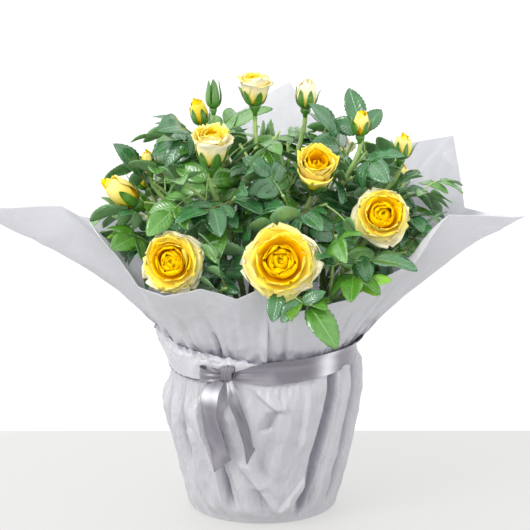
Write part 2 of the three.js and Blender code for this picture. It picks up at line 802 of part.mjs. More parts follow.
// The best leaf for a place on a stem. It is turned on where it has no room, and of all its
// tries the one that keeps the most leaflets stays.
function leafAt(shoot, s, k) {
  const { curve, name, seed, length } = shoot;
  const root = curve.getPointAt(s / length);
  const along = curve.getTangentAt(s / length);
  let best = { leaflets: [] };
  for (let attempt = 0; attempt < tries; attempt++) {
    const turn = radians(goldenAngle * k + 360 * dice(seed, 5) + 47 * attempt);
    const side = vec(Math.cos(turn), Math.sin(turn), 0);
    side.addScaledVector(along, -side.dot(along)).normalize();
    const outward = vec(root.x, root.y, 0).multiplyScalar(0.009);
    const lift = vec(0, 0, 0.15 + 0.5 * dice(seed, k, attempt));
    const aim = side.add(outward).add(lift).normalize();
    const pairs = dice(seed, k, 8) < 0.6 ? 2 : 1;
    const { stalk, leaflets } = compoundLeaf(root, aim, seed * 31 + k * 7 + attempt, pairs);
    if (!stalk.slice(1).every((p) => isFree(p, name))) continue;
    if (touches(solid(limb(stalk, 1.2, 1, 3, 2)), shoot.stem)) continue;
    const kept = leaflets.filter(
      (leaflet) =>
        leafletCorners(leaflet).every((p) => isFree(p, name)) &&
        !touches(solid(leafletGeometry(leaflet, 0, 1.08)), null),
    );
    if (kept.length > best.leaflets.length) best = { stalk, leaflets: kept };
    if (kept.length === leaflets.length) break;
  }
  return best;
}

function growBush() {
  canePath.forEach((points) => take(solid(limb(points, caneSize.foot, caneSize.tip, 6, 6))));
  for (const points of Object.values(boughPath))
    take(solid(limb(points, boughSize.foot, boughSize.tip, 5, 5)));
  const pieces = Object.fromEntries(Object.keys(masses).map((name) => [name, []]));
  const shoots = [];
  Object.keys(masses).forEach((name, number) =>
    stemsOf(name).forEach((stem, k) => {
      const twig = limb(stem.points, stem.size.foot, stem.size.tip, 3, 4);
      pieces[name].push(twig);
      take(solid(twig), stem);
      if (stem.bloom) {
        const bloom = bloomGeometry(stem.bloom);
        pieces[name].push(bloom);
        take(solid(bloom));
      }
      const curve = new THREE.CatmullRomCurve3(stem.points, false, "centripetal");
      const length = curve.getLength();
      shoots.push({ name, stem, curve, length, seed: number * 10 + k + 1 });
    }),
  );
  // The leaves come in rounds, tips first, so that every mass gets its share of the room.
  for (let k = 0; k < mostLeaves; k++)
    for (const shoot of shoots) {
      const s = shoot.length - shoot.stem.bare - 2 - k * nodeSpacing;
      if (s < 6) continue;
      const { stalk, leaflets } = leafAt(shoot, s, k);
      if (leaflets.length < 2) continue;
      const made = leaflets.map((leaflet) => leafletGeometry(leaflet));
      made.unshift(limb(stalk, stalkSize.foot, stalkSize.tip, 3, 2));
      pieces[shoot.name].push(...made);
      made.forEach((piece) => take(solid(piece)));
    }
  return pieces;
}

// ---------------------------------------------------------------- the whole object

const group = new THREE.Group();

function add(name, geometry, colour, roughness, metalness = 0) {
  const material = new THREE.MeshStandardMaterial({ color: colour, roughness, metalness });
  const mesh = new THREE.Mesh(geometry, material);
  mesh.name = name;
  group.add(mesh);
}

add("pot", potGeometry(), colours.pot, 0.6);
add("compost", soilGeometry(), colours.soil, 1);
add("wrap_skirt", skirtGeometry(), colours.paper, 0.45, 0.1);
for (const [name, [from, to, steps]] of Object.entries(collarPanels))
  add(name, collarPanel(from, to, steps), colours.paper, 0.45, 0.1);
add("wrap_cuff", cuffGeometry(), colours.paper, 0.45, 0.1);
add("ribbon_band", ribbonBandGeometry(), colours.ribbon, 0.3);
add("ribbon_knot", knotGeometry(), colours.ribbon, 0.3);
for (const [name, tail] of Object.entries(tails)) add(name, tailGeometry(tail), colours.ribbon, 0.3);

const stockProfile = [
  [0, soil.top + gap],
  [stock.flare, soil.top + gap],
  [stock.neck + 1.6, soil.top + 2.5],
  [stock.neck, soil.top + 4.8],
  [stock.neck, soil.top + 12.4],
  [stock.tip, soil.top + stock.height],
  [0, soil.top + stock.height + 1],
];
add("stem_foot", turned(stockProfile, 14), colours.bark, 0.9);
canePath.forEach((points, k) =>
  add(`cane_${k + 1}`, limb(points, caneSize.foot, caneSize.tip, 7, 6), colours.bark, 0.8),
);
for (const [name, points] of Object.entries(boughPath))
  add(`bough_${name}`, limb(points, boughSize.foot, boughSize.tip, 5, 5), colours.bark, 0.7);
for (const [name, pieces] of Object.entries(growBush()))
  add(`foliage_${name}`, joined(pieces), colours.leaf, 0.5);

export default group;
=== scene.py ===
# A miniature rose bush in bloom, in a 12 cm pot that is wrapped in crepe paper and tied with satin ribbon.
# Sizes are in millimetres until a mesh is built. +Z is up, -Y is the front.

import math

import bpy
import numpy as np
from mathutils import Matrix, Vector, noise
from mathutils.bvhtree import BVHTree


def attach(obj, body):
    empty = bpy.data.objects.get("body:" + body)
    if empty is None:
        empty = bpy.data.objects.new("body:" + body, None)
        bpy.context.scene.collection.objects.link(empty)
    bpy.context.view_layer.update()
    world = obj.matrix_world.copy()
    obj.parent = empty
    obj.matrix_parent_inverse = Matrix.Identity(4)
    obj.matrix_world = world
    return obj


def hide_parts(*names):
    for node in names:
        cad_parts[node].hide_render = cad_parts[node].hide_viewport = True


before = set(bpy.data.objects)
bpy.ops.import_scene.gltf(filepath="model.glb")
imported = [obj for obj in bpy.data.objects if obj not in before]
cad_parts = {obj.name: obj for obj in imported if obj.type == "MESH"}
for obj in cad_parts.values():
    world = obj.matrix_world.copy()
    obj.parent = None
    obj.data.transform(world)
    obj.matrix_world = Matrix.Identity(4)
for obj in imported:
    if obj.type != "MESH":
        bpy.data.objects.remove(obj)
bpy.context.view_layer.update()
millimetre = 0.001
print("frame loaded:", len(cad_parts), "nodes")


def dice(a, b=0, c=0):  # a repeatable number from 0 to 1 for each set of whole numbers
    s = math.sin(a * 127.1 + b * 311.7 + c * 74.7) * 43758.5453
    return s - math.floor(s)


def blend(a, b, t):
    return a + (b - a) * t


def ease(x, low, high):
    t = np.clip((np.asarray(x, float) - low) / (high - low), 0, 1)
    return t * t * (3 - 2 * t)


def polar(radius, degrees, z):
    turn = math.radians(degrees)
    return Vector((radius * math.cos(turn), radius * math.sin(turn), z))


def squareTo(along, way):  # what of way is at right angles to along
    return (way - along * way.dot(along)).normalized()


def polarGrid(radius, degrees, z):
    turn = np.radians(degrees)
    return np.stack(np.broadcast_arrays(radius * np.cos(turn), radius * np.sin(turn), z), -1)


def deselectAll():
    bpy.ops.object.select_all(action="DESELECT")


def makeActive(piece):
    deselectAll()
    piece.select_set(True)
    bpy.context.view_layer.objects.active = piece


def readPoints(mesh):
    co = np.empty(len(mesh.vertices) * 3, np.float32)
    mesh.vertices.foreach_get("co", co)
    return co.reshape(-1, 3).astype(float)


def writePoints(mesh, points):
    mesh.vertices.foreach_set("co", points.astype(np.float32).ravel())
    mesh.update()


def thicken(piece, sheet, angle):  # gives a sheet two sides and keeps creases over this angle sharp
    makeActive(piece)
    modifier = piece.modifiers.new("sheet", "SOLIDIFY")
    modifier.thickness, modifier.offset = sheet * millimetre, 0
    bpy.ops.object.modifier_apply(modifier=modifier.name)
    bpy.ops.object.shade_smooth_by_angle(angle=math.radians(angle))


def mendPiece(piece):  # merges doubles and turns all faces outwards
    makeActive(piece)
    bpy.ops.object.mode_set(mode="EDIT")
    bpy.ops.mesh.select_all(action="SELECT")
    bpy.ops.mesh.remove_doubles(threshold=0.02 * millimetre)
    bpy.ops.mesh.normals_make_consistent(inside=False)
    bpy.ops.object.mode_set(mode="OBJECT")


def flatSheet(name, across, along, place):  # a subdivided sheet, each point moved to place(u, v)
    deselectAll()
    bpy.ops.mesh.primitive_grid_add(x_subdivisions=across, y_subdivisions=along, size=2)
    piece = bpy.context.object
    piece.name = piece.data.name = name
    flat = (readPoints(piece.data)[:, :2] + 1) / 2
    writePoints(piece.data, place(flat[:, 0], flat[:, 1]) * millimetre)
    return piece


def keepValues(mesh, name, values):  # one number for each point, which a material reads
    mesh.attributes.new(name, "FLOAT", "POINT").data.foreach_set("value", values.astype(np.float32))


def finishPiece(piece, material, slot, *nodes):
    if material:
        piece.data.materials.clear()
        piece.data.materials.append(material)
    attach(piece, "root")
    if nodes:
        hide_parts(*nodes)
    return piece


class Heap:  # many small sheets and tubes gathered into one mesh
    def __init__(self):
        self.points, self.quads, self.tris = [], [], []
        self.quadKinds, self.triKinds, self.uvs, self.rims = [], [], [], []
        self.size = 0

    def take(self, points, quads, quadKind, uv, rim, tris=None, triKind=None):
        self.points.append(points)
        self.quads.append(quads + self.size)
        self.quadKinds.append(np.broadcast_to(quadKind, len(quads)))
        if tris is not None:
            self.tris.append(tris + self.size)
            self.triKinds.append(np.broadcast_to(triKind, len(tris)))
        self.uvs.append(uv)
        self.rims.append(rim)
        self.size += len(points)

    def leaf(self, grid, thick, faceKind, backKind, rim):  # a thin closed sheet with two sides
        rows, cols = grid.shape[:2]
        down = np.gradient(grid, axis=0)
        side = np.gradient(grid, axis=1)
        normal = np.cross(side, down)
        normal /= np.linalg.norm(normal, axis=-1, keepdims=True) + 1e-9
        both = np.concatenate([grid.reshape(-1, 3), (grid - normal * thick).reshape(-1, 3)])
        quads, kinds = sheetFaces(rows, cols, faceKind, backKind)
        v, u = np.meshgrid(np.linspace(0, 1, rows), np.linspace(0, 1, cols), indexing="ij")
        uv = np.tile(np.stack([u.ravel(), v.ravel()], 1), (2, 1))
        self.take(both, quads, kinds, uv, np.tile(rim.ravel(), 2))

    def tube(self, middles, radii, sides, kind, wobble=None):  # a round limb, closed at both ends
        middles = np.asarray(middles, float)
        count = len(middles)
        ways = np.gradient(middles, axis=0)
        ways /= np.linalg.norm(ways, axis=1, keepdims=True) + 1e-9
        normal = np.cross(ways[0], [0.13, 0.94, 0.31])
        ring = np.linspace(0, 2 * math.pi, sides, endpoint=False)
        points = []
        for j in range(count):
            normal = normal - ways[j] * np.dot(normal, ways[j])
            normal /= np.linalg.norm(normal) + 1e-9
            other = np.cross(ways[j], normal)
            radius = np.broadcast_to(radii[j], sides) * (1 if wobble is None else wobble[j])
            half = middles[j] + np.outer(np.cos(ring) * radius, normal)
            points.append(half + np.outer(np.sin(ring) * radius, other))
        points = np.concatenate(points + [middles[:1], middles[-1:]])
        j, i = np.meshgrid(np.arange(count - 1), np.arange(sides), indexing="ij")
        a, b = j * sides + i, j * sides + (i + 1) % sides
        quads = np.stack([a, b, b + sides, a + sides], -1).reshape(-1, 4)
        i = np.arange(sides)
        first, last = count * sides, (count - 1) * sides
        foot = np.stack([np.full(sides, first), (i + 1) % sides, i], 1)
        tip = np.stack([np.full(sides, first + 1), last + i, last + (i + 1) % sides], 1)
        u = np.tile(np.arange(sides) / sides, count)
        v = np.repeat(np.arange(count) / (count - 1), sides)
        uv = np.concatenate([np.stack([u, v], 1), [[0.5, 0], [0.5, 1]]])
        self.take(points, quads, kind, uv, uv[:, 1], np.concatenate([foot, tip]), kind)

    def build(self, name, materials, slot, *nodes):
        points = np.concatenate(self.points) * millimetre
        quads = np.concatenate(self.quads)
        tris = np.concatenate(self.tris) if self.tris else np.zeros((0, 3), int)
        loops = np.concatenate([quads.ravel(), tris.ravel()])
        sizes = np.concatenate([np.full(len(quads), 4), np.full(len(tris), 3)])
        mesh = bpy.data.meshes.new(name)
        mesh.vertices.add(len(points))
        mesh.vertices.foreach_set("co", points.astype(np.float32).ravel())
        mesh.loops.add(len(loops))
        mesh.loops.foreach_set("vertex_index", loops.astype(np.int32))
        mesh.polygons.add(len(sizes))
        mesh.polygons.foreach_set("loop_start", np.concatenate([[0], np.cumsum(sizes)[:-1]]).astype(np.int32))
        kinds = np.concatenate(self.quadKinds + self.triKinds)
        mesh.polygons.foreach_set("material_index", kinds.astype(np.int32))
        mesh.polygons.foreach_set("use_smooth", np.ones(len(sizes), bool))
        mesh.update(calc_edges=True)
        uvMap = mesh.uv_layers.new(name="UVMap")
        uvMap.data.foreach_set("uv", np.concatenate(self.uvs)[loops].astype(np.float32).ravel())
        keepValues(mesh, "rim", np.concatenate(self.rims))
        for material in materials:
            mesh.materials.append(material)
        piece = bpy.data.objects.new(name, mesh)
        bpy.context.scene.collection.objects.link(piece)
        print(name, "triangles:", 2 * len(quads) + len(tris))
        return finishPiece(piece, None, slot, *nodes)


sheetCache = {}


def sheetFaces(rows, cols, faceKind, backKind):
    key = (rows, cols)
    if key not in sheetCache:
        j, i = np.meshgrid(np.arange(rows - 1), np.arange(cols - 1), indexing="ij")
        a = (j * cols + i).ravel()
        face = np.stack([a, a + 1, a + 1 + cols, a + cols], 1)
        back = face[:, ::-1] + rows * cols
        edge = np.concatenate([
            np.arange(cols),
            np.arange(2, rows + 1) * cols - 1,
            (rows - 1) * cols + np.arange(cols - 2, -1, -1),
            np.arange(rows - 2, 0, -1) * cols,
        ])
        after = np.roll(edge, -1)
        rim = np.stack([edge, edge + rows * cols, after + rows * cols, after], 1)
        sheetCache[key] = (face, back, rim)
    face, back, rim = sheetCache[key]
    kinds = np.repeat([faceKind, backKind, faceKind], [len(face), len(back), len(rim)])
    return np.concatenate([face, back, rim]), kinds


view = {"aim": (2, 0, 178), "away": 1250, "elevation": 14, "lens": 118.92, "sensor": 36, "far": 20}
# A soft sun, the room's own glow with what each side adds to it, and a broad window.
light = {
    "from": (-1.0, -0.85, 1.4), "towards": (0, 0, 0.15), "strength": 1.6, "soft": 24,
    "colour": (1, 0.99, 0.97),
    "room": 0.92, "left": 0.34, "right": 0.62, "behind": 0.35, "before": 0.42, "air": (0.97, 0.98, 1, 1),
    "window": 2.6, "windowAt": (-0.55, 0.35, 0.72), "windowEdge": 14,
}
# The table and what lies beyond its rear edge, in metres. Both glow, so that shadows on them stay pale.
ground = {
    "reach": 12, "edge": 0.152, "deep": 0.0004, "table": (0.81, 0.805, 0.79), "beyond": (1.08, 1.08, 1.08),
    "glow": 0.665, "dull": 0.2, "grain": 30.0, "mottle": 0.12, "darker": 0.97,
}


def aimAt(thing, spot):
    way = Vector(spot) - thing.location
    thing.rotation_euler = way.to_track_quat("-Z", "Y").to_euler()


def makeCamera():
    data = bpy.data.cameras.new("camera")
    data.lens, data.sensor_width = view["lens"], view["sensor"]
    data.clip_end = view["far"]
    camera = bpy.data.objects.new("camera", data)
    bpy.context.scene.collection.objects.link(camera)
    lift = math.radians(view["elevation"])
    aim = Vector(view["aim"]) * millimetre
    away = view["away"] * millimetre
    camera.location = aim + Vector((0, -math.cos(lift) * away, math.sin(lift) * away))
    aimAt(camera, aim)
    bpy.context.scene.camera = camera


def makeLights():
    data = bpy.data.lights.new("key", "SUN")
    data.energy, data.color = light["strength"], light["colour"]
    data.angle = math.radians(light["soft"])
    lamp = bpy.data.objects.new("key", data)
    bpy.context.scene.collection.objects.link(lamp)
    lamp.location = light["from"]
    aimAt(lamp, light["towards"])
    world = bpy.data.worlds.new("studio")
    world.use_nodes = True
    room = Shader(tree=world.node_tree)
    split = room.add("SeparateXYZ", {}, {0: room.add("TexCoord", {}, {}, "Generated")})
    x, y, z = [Value(room, split.socket.node.outputs[k]) for k in range(3)]
    glow = light["room"]
    for way, side in ((x * -1.0, "left"), (x, "right"), (y, "behind"), (y * -1.0, "before")):
        glow = glow + way.maths("MAXIMUM") * light[side]
    toX, toY, toZ = light["windowAt"]
    facing = (x * toX + y * toY + z * toZ).maths("MAXIMUM")
    glow = glow + facing.maths("POWER", light["windowEdge"]) * light["window"]
    backdrop = world.node_tree.nodes["Background"]
    backdrop.inputs["Color"].default_value = light["air"]
    room.put(backdrop.inputs["Strength"], glow)
    bpy.context.scene.world = world
    bpy.context.scene.view_settings.view_transform = "Standard"


def makeFloor():
    reach, edge = ground["reach"], ground["edge"]
    for name, low, high, colour in [
        ("floor_table", -reach, edge, ground["table"]),
        ("floor_beyond", edge, reach, ground["beyond"]),
    ]:
        deselectAll()
        bpy.ops.mesh.primitive_plane_add(size=1)
        floor = bpy.context.object
        floor.name = name
        size, middle = [2 * reach, high - low, 1], [0, (low + high) / 2, -ground["deep"]]
        writePoints(floor.data, readPoints(floor.data) * size + middle)
        glow = {"Emission_Color": (*colour, 1), "Emission_Strength": ground["glow"]}
        shader = Shader(name, rough=0.6, shine=0.3, **glow)
        grain = shader.add("TexNoise", {}, {"Vector": shader.place(), "Scale": ground["grain"]}, "Fac")
        dull = [c * ground["dull"] for c in colour]
        darker = [c * ground["darker"] for c in dull]
        shader.finish(colour=shader.mix(grain * ground["mottle"], dull, darker))
        floor.data.materials.append(shader.material)


class Value:  # a node's output on which maths adds Math nodes
    def __init__(self, shader, socket):
        self.shader, self.socket = shader, socket

    def maths(self, operation, other=0.0):
        return self.shader.add("Math", {"operation": operation}, {0: self, 1: other})

    def __add__(self, other):
        return self.maths("ADD", other)

    def __radd__(self, other):
        return self + other

    def __sub__(self, other):
        return self.maths("SUBTRACT", other)

    def __rsub__(self, other):
        return self * -1.0 + other

    def __mul__(self, other):
        return self.maths("MULTIPLY", other)

    def apart(self, other):  # the distance of two numbers
        return (self - other).maths("ABSOLUTE")

    def wrap(self):
        return self.maths("FRACT")

    def step(self, low, high):  # eases from 0 to 1 between low and high
        values = {"Value": self, "From Min": low, "From Max": high}
        return self.shader.add("MapRange", {"interpolation_type": "SMOOTHSTEP"}, values, "Result")


class Shader:
    def __init__(self, name=None, rough=0.5, shine=0.5, tree=None, **fixed):
        self.tree = tree  # the world's own nodes, where there is no material
        if tree:
            return
        self.material = bpy.data.materials.new(name)
        self.material.use_nodes = True
        self.tree = self.material.node_tree
        self.main = self.tree.nodes["Principled BSDF"]
        self.main.inputs["Roughness"].default_value = rough
        self.main.inputs["Specular IOR Level"].default_value = shine
        for key, value in fixed.items():
            self.main.inputs[key.replace("_", " ")].default_value = value

    def add(self, kind, settings, values, output=0):
        node = self.tree.nodes.new("ShaderNode" + kind)
        for key, value in settings.items():
            setattr(node, key, value)
        for key, value in values.items():
            self.put(node.inputs[key], value)
        return Value(self, node.outputs[output])

    def put(self, socket, value):
        if isinstance(value, Value):
            self.tree.links.new(value.socket, socket)
        elif isinstance(value, (tuple, list)) and len(socket.default_value) == 4:
            socket.default_value = (*value[:3], 1)
        else:
            socket.default_value = value

    def place(self):
        return self.add("TexCoord", {}, {}, "Object")

    def own(self, name):
        return self.add("Attribute", {"attribute_name": name}, {}, "Fac")

    def map(self):  # u across the piece and v along it
        split = self.add("SeparateXYZ", {}, {0: self.add("UVMap", {"uv_map": "UVMap"}, {})})
        return split, Value(self, split.socket.node.outputs[1])

    def noise(self, size, detail=2.0, vector=None, rough=0.5):  # size in millimetres
        values = {"Vector": vector or self.place(), "Scale": 1000 / size}
        return self.add("TexNoise", {}, {**values, "Detail": detail, "Roughness": rough}, "Fac")

    def mix(self, share, a, b):
        return self.add("Mix", {"data_type": "RGBA"}, {0: share, 6: a, 7: b}, 2)

    def bump(self, height, deep, strength=1.0, under=None):
        values = {"Height": height, "Distance": deep * millimetre, "Strength": strength}
        if under is not None:
            values["Normal"] = under
        return self.add("Bump", {}, values)

    # glow is the share of light that is let through, and through its colour
    def finish(self, colour=None, rough=None, normal=None, glow=0.0, through=None):
        for key, value in {"Base Color": colour, "Roughness": rough, "Normal": normal}.items():
            if value is not None:
                self.put(self.main.inputs[key], value)
        if glow:
            thin = self.add("BsdfTranslucent", {}, {"Color": through})
            solid = Value(self, self.main.outputs[0])
            both = self.add("MixShader", {}, {0: glow, 1: solid, 2: thin})
            self.tree.links.new(both.socket, self.tree.nodes["Material Output"].inputs["Surface"])
        return self.material


# The paper's own tone, a darker tone for its cloudy patches and for painted shade along fine creases, the
# colour of painted shade in folds, its roughness, the share and colour of light it lets through, and the
# colour of painted shade on the collar's rear right inner side.
paperLook = {
    "bright": (0.765, 0.765, 0.795), "shade": (0.69, 0.685, 0.72), "fold": (0.38, 0.365, 0.43), "rough": 0.28,
    "glow": 0.34, "through": (0.86, 0.86, 0.89), "paintedShadeRear": (0.46, 0.46, 0.485),
}


def paperMaterial():
    shader = Shader("crepe_paper", paperLook["rough"], 0.75)
    cloud = shader.noise(45, 2.0)
    fine = shader.noise(0.9, 3.0)
    soft = shader.noise(9, 3.0, rough=0.6)
    crease = (soft - 0.5).apart(0.0)
    upright = shader.add("VectorMath", {"operation": "MULTIPLY"}, {0: shader.place(), 1: (1, 1, 0.2)})
    fold = shader.own("fold")
    gathered = fold.step(0.125, 0.16)
    streak = 1 - (1 - (shader.noise(5.5, 2.0, upright) - 0.5).apart(0.0)) * gathered
    normal = shader.bump(crease.step(0, 0.16), 0.3, 0.35)
    normal = shader.bump(streak.step(0, 0.14), 0.6, 0.45, normal)
    normal = shader.bump(fine, 0.1, 0.35, normal)
    # A cloudy tone the paper has of its own, with painted shade along the fine creases and the streaks
    shade = cloud.step(0.35, 0.7) * 0.6 + crease.step(0.05, 0) * 0.25 + streak.step(0.03, 0) * 0.3
    colour = shader.mix(shade, paperLook["bright"], paperLook["shade"])
    # Painted shade in folds, gathers and crumples, darkest where the fold number is highest
    colour = shader.mix(fold, colour, paperLook["fold"])
    # Painted shade on the inner side of the collar's rear right panel
    colour = shader.mix(shader.own("paintedShadeRear"), colour, paperLook["paintedShadeRear"])
    rough = paperLook["rough"] + (cloud - 0.5) * 0.15
    return shader.finish(colour, rough, normal, paperLook["glow"], paperLook["through"])


# The satin's own dark grey, the pale colour of its painted highlights, and its roughness
ribbonLook = {"pale": (0.72, 0.71, 0.76), "dark": (0.16, 0.146, 0.174), "rough": 0.27}


def ribbonMaterial():
    shader = Shader("grey_satin", ribbonLook["rough"], 0.7, Sheen_Weight=0.25)
    u = shader.map()[0]
    paintedSheenPatch = shader.noise(26, 1.0)
    paintedGleam = shader.own("paintedGleam")
    threads = (u * 60.0).wrap().apart(0.5)
    edge = (u - 0.5).apart(0.0).step(0.455, 0.475)
    # Painted highlights: random pale patches of sheen, and the painted gleam on the band and tails
    bright = (paintedSheenPatch.step(0.5, 0.8) * 0.3).maths("MAXIMUM", paintedGleam)
    colour = shader.mix(bright, ribbonLook["dark"], ribbonLook["pale"])
    normal = shader.bump(threads * 0.25 + edge, 0.06, 0.3)
    normal = shader.bump(shader.noise(5, 1.0), 0.4, 0.3, normal)
    return shader.finish(colour, ribbonLook["rough"] + paintedSheenPatch * 0.1, normal)


leafLooks = {  # three tints of the upper side, then the under side
    "leaf_deep": {"flesh": (0.03, 0.135, 0.036), "vein": (0.14, 0.36, 0.14), "rough": 0.17},
    "leaf_green": {"flesh": (0.06, 0.2, 0.012), "vein": (0.18, 0.42, 0.07), "rough": 0.2},
    "leaf_fresh": {"flesh": (0.2, 0.47, 0.02), "vein": (0.38, 0.62, 0.1), "rough": 0.3},
    "leaf_under": {"flesh": (0.15, 0.31, 0.12), "vein": (0.24, 0.42, 0.15), "rough": 0.45},
}


def leafMaterial(name):
    look = leafLooks[name]
    shader = Shader(name, look["rough"], 0.9, Coat_Weight=0.3, Coat_Roughness=0.22)
    u, v = shader.map()
    across = (u - 0.5).apart(0.0) * 2.0
    midrib = across.step(0.09, 0.02)
    side = (v * 8.0 - across * 2.2).wrap().apart(0.5)
    vein = side.step(0.13, 0.02) * across.step(1.0, 0.6)
    cloud = shader.noise(6, 2.0)
    skin = shader.mix(cloud.step(0.3, 0.75) * 0.55, look["flesh"], [c * 1.7 for c in look["flesh"]])
    colour = shader.mix((midrib * 0.7).maths("MAXIMUM", vein * 0.16), skin, look["vein"])
    quilt = (side * 2.0) * across.step(1.05, 0.7)
    normal = shader.bump(quilt - midrib * 1.4, 0.3, 0.4)
    normal = shader.bump(shader.noise(0.7), 0.06, 0.35, normal)
    return shader.finish(colour, look["rough"] + cloud * 0.16, normal)


petalLooks = {  # at the base and at the rim
    "petal_heart": {"base": (1.0, 0.38, 0.0), "rim": (1.0, 0.54, 0.0)},
    "petal_inner": {"base": (1.0, 0.49, 0.0), "rim": (1.0, 0.67, 0.0)},
    "petal_outer": {"base": (1.0, 0.6, 0.0), "rim": (1.0, 0.81, 0.1)},
    "petal_guard": {"base": (1.0, 0.68, 0.0), "rim": (1.0, 0.88, 0.32)},
    "petal_cream": {"base": (1.0, 0.78, 0.08), "rim": (1.0, 0.93, 0.66)},
}


def petalMaterial(name):
    look = petalLooks[name]
    shader = Shader(name, 0.6, 0.06)
    u, v = shader.map()
    streaks = shader.add("CombineXYZ", {}, {0: u * 34.0, 1: v * 2.5})
    ray = shader.add("TexNoise", {}, {"Vector": streaks, "Scale": 1.0, "Detail": 2.0}, "Fac")
    rim = shader.own("rim")
    colour = shader.mix((rim + (ray - 0.5) * 0.35).step(0.05, 0.95), look["base"], look["rim"])
    normal = shader.bump(ray, 0.22, 0.35)
    normal = shader.bump(shader.noise(2.5), 0.25, 0.25, normal)
    return shader.finish(colour, 0.55 + ray * 0.15, normal, 0.08, look["rim"])


stemLooks = {
    "bark_foot": {"low": (0.09, 0.055, 0.03), "high": (0.16, 0.14, 0.06), "grain": 1.2, "rough": 0.8},
    "bark_green": {"low": (0.06, 0.12, 0.03), "high": (0.16, 0.24, 0.07), "grain": 2.5, "rough": 0.55},
    "stem_green": {"low": (0.2, 0.36, 0.09), "high": (0.46, 0.62, 0.22), "grain": 4, "rough": 0.42},
    "stem_red": {"low": (0.2, 0.15, 0.05), "high": (0.22, 0.3, 0.08), "grain": 3, "rough": 0.45},
}


def stemMaterial(name):
    look = stemLooks[name]
    shader = Shader(name, look["rough"], 0.45)
    cloud = shader.noise(look["grain"] * 3, 3.0)
    grain = shader.noise(look["grain"] * 0.4, 3.0)
    colour = shader.mix(cloud.step(0.32, 0.68), look["low"], look["high"])
    return shader.finish(colour, look["rough"] + (grain - 0.5) * 0.2, shader.bump(grain, 0.25, 0.5))


soilLook = {"dark": (0.018, 0.011, 0.007), "pale": (0.075, 0.045, 0.026)}


def soilMaterial():
    shader = Shader("potting_compost", 0.95, 0.2)
    crumbs = shader.noise(2.2, 5.0, rough=0.7)
    colour = shader.mix(crumbs.step(0.35, 0.7), soilLook["dark"], soilLook["pale"])
    return shader.finish(colour, None, shader.bump(crumbs, 1.5, 0.9))


potLook = {"dark": (0.05, 0.027, 0.018), "pale": (0.1, 0.065, 0.05)}


def potMaterial():
    shader = Shader("pot_plastic", 0.55, 0.45)
    scuff = shader.noise(9, 4.0, rough=0.6)
    colour = shader.mix(scuff.step(0.5, 0.8) * 0.5, potLook["dark"], potLook["pale"])
    return shader.finish(colour, 0.45 + scuff * 0.25, shader.bump(shader.noise(0.8), 0.05, 0.4))


paper = {"neckRadius": 65, "neckTop": 124, "gap": 0.35, "sheet": 0.4}
skirtOutline = [  # radius and height
    (53, 0), (54.4, 1.4), (60.5, 26), (66, 54), (71.2, 82), (72, 98), (69, 105), (65.3, 109.6), (65, 124),
]
skirt = {
    "around": 500, "up": 120, "footShare": 0.12, "roundAbove": 40, "rounding": 8,
    "crease": 1.35, "facets": 2.6, "fine": 0.7, "least": -2.4, "most": 9, "tuck": 0.1,
}
# Folds: height and degrees at both ends, width to each side in degrees, depth inwards in millimetres.
skirtCreases = [
    (116, 226, 2, 243, 2.2, 9, -3.4), (112, 233, 20, 247, 5, 3, 4.6), (70, 243, 4, 262, 3, 8, -2.6),
    (112, 215, 40, 219, 7, 2.5, 3.2), (108, 205, 6, 214, 2.5, 8, -2.2), (106, 197, 10, 203, 7, 3, 3.4),
    (112, 263, 92, 280, 2.5, 8, -2.8), (92, 279, 78, 274, 8, 3, 2), (50, 257, 8, 281, 2.5, 6, -3),
    (48, 309, 8, 284, 6, 2.5, -3), (30, 268, 8, 272, 9, 9, 2.4), (118, 321, 3, 299, 8, 2.5, 7),
    (118, 329, 3, 307, 2.5, 9, -2.6), (104, 299, 60, 294, 3, 6, -2), (112, 346, 10, 328, 8, 3, 4.4),
    (112, 352, 30, 344, 3, 8, -2), (110, 12, 4, 4, 8, 3, 4.2), (108, 34, 8, 30, 3, 10, -2.6),
    (110, 55, 4, 62, 8, 3, 4.6), (106, 80, 6, 76, 3, 9, -2.4), (112, 98, 4, 106, 9, 3, 4.4),
    (104, 128, 8, 122, 3, 10, -2.6), (110, 146, 4, 152, 8, 3, 4.6), (104, 172, 10, 168, 4, 9, -2.4),
]


def ridged(points, across, tall, seed):  # sharp creases where the noise is naught, up to about 1 between
    shift = Vector((seed * 7.3, seed * 3.1, seed * 5.7))
    scaled = points / [across, across, tall]
    return np.array([abs(noise.noise(Vector(p) + shift)) * 2 for p in scaled])


paintedFoldShade = {}  # painted shade: how deep each point lies in a fold, gather or crumple, which darkens the paper there


def tri(x):  # straight sides and sharp turns, from 0 to 1
    return np.abs(x - np.floor(x) - 0.5) * 2


def foldWave(degrees, v, count, seed):  # uneven pleats with sharp ridges, from 0 to 1
    wander = 5 * np.sin(np.radians(degrees * 3 + seed * 40))
    wander = wander + 3.2 * np.sin(np.radians(degrees * 7 + seed * 90))
    phase = (degrees + wander + 6 * v * np.sin(np.radians(degrees * 4 + 30))) * count / 360
    size = 0.55 + 0.45 * np.sin(np.radians(degrees * 5 + seed * 57))
    return tri(phase) ** 1.3 * size


def shoulderShift(degrees, z):  # the skirt's shoulder stands higher at the right than at the left
    return (11.5 * np.cos(np.radians(degrees)) - 2.5) * ease(z, 40, 98) * (1 - ease(z, 104, 122))


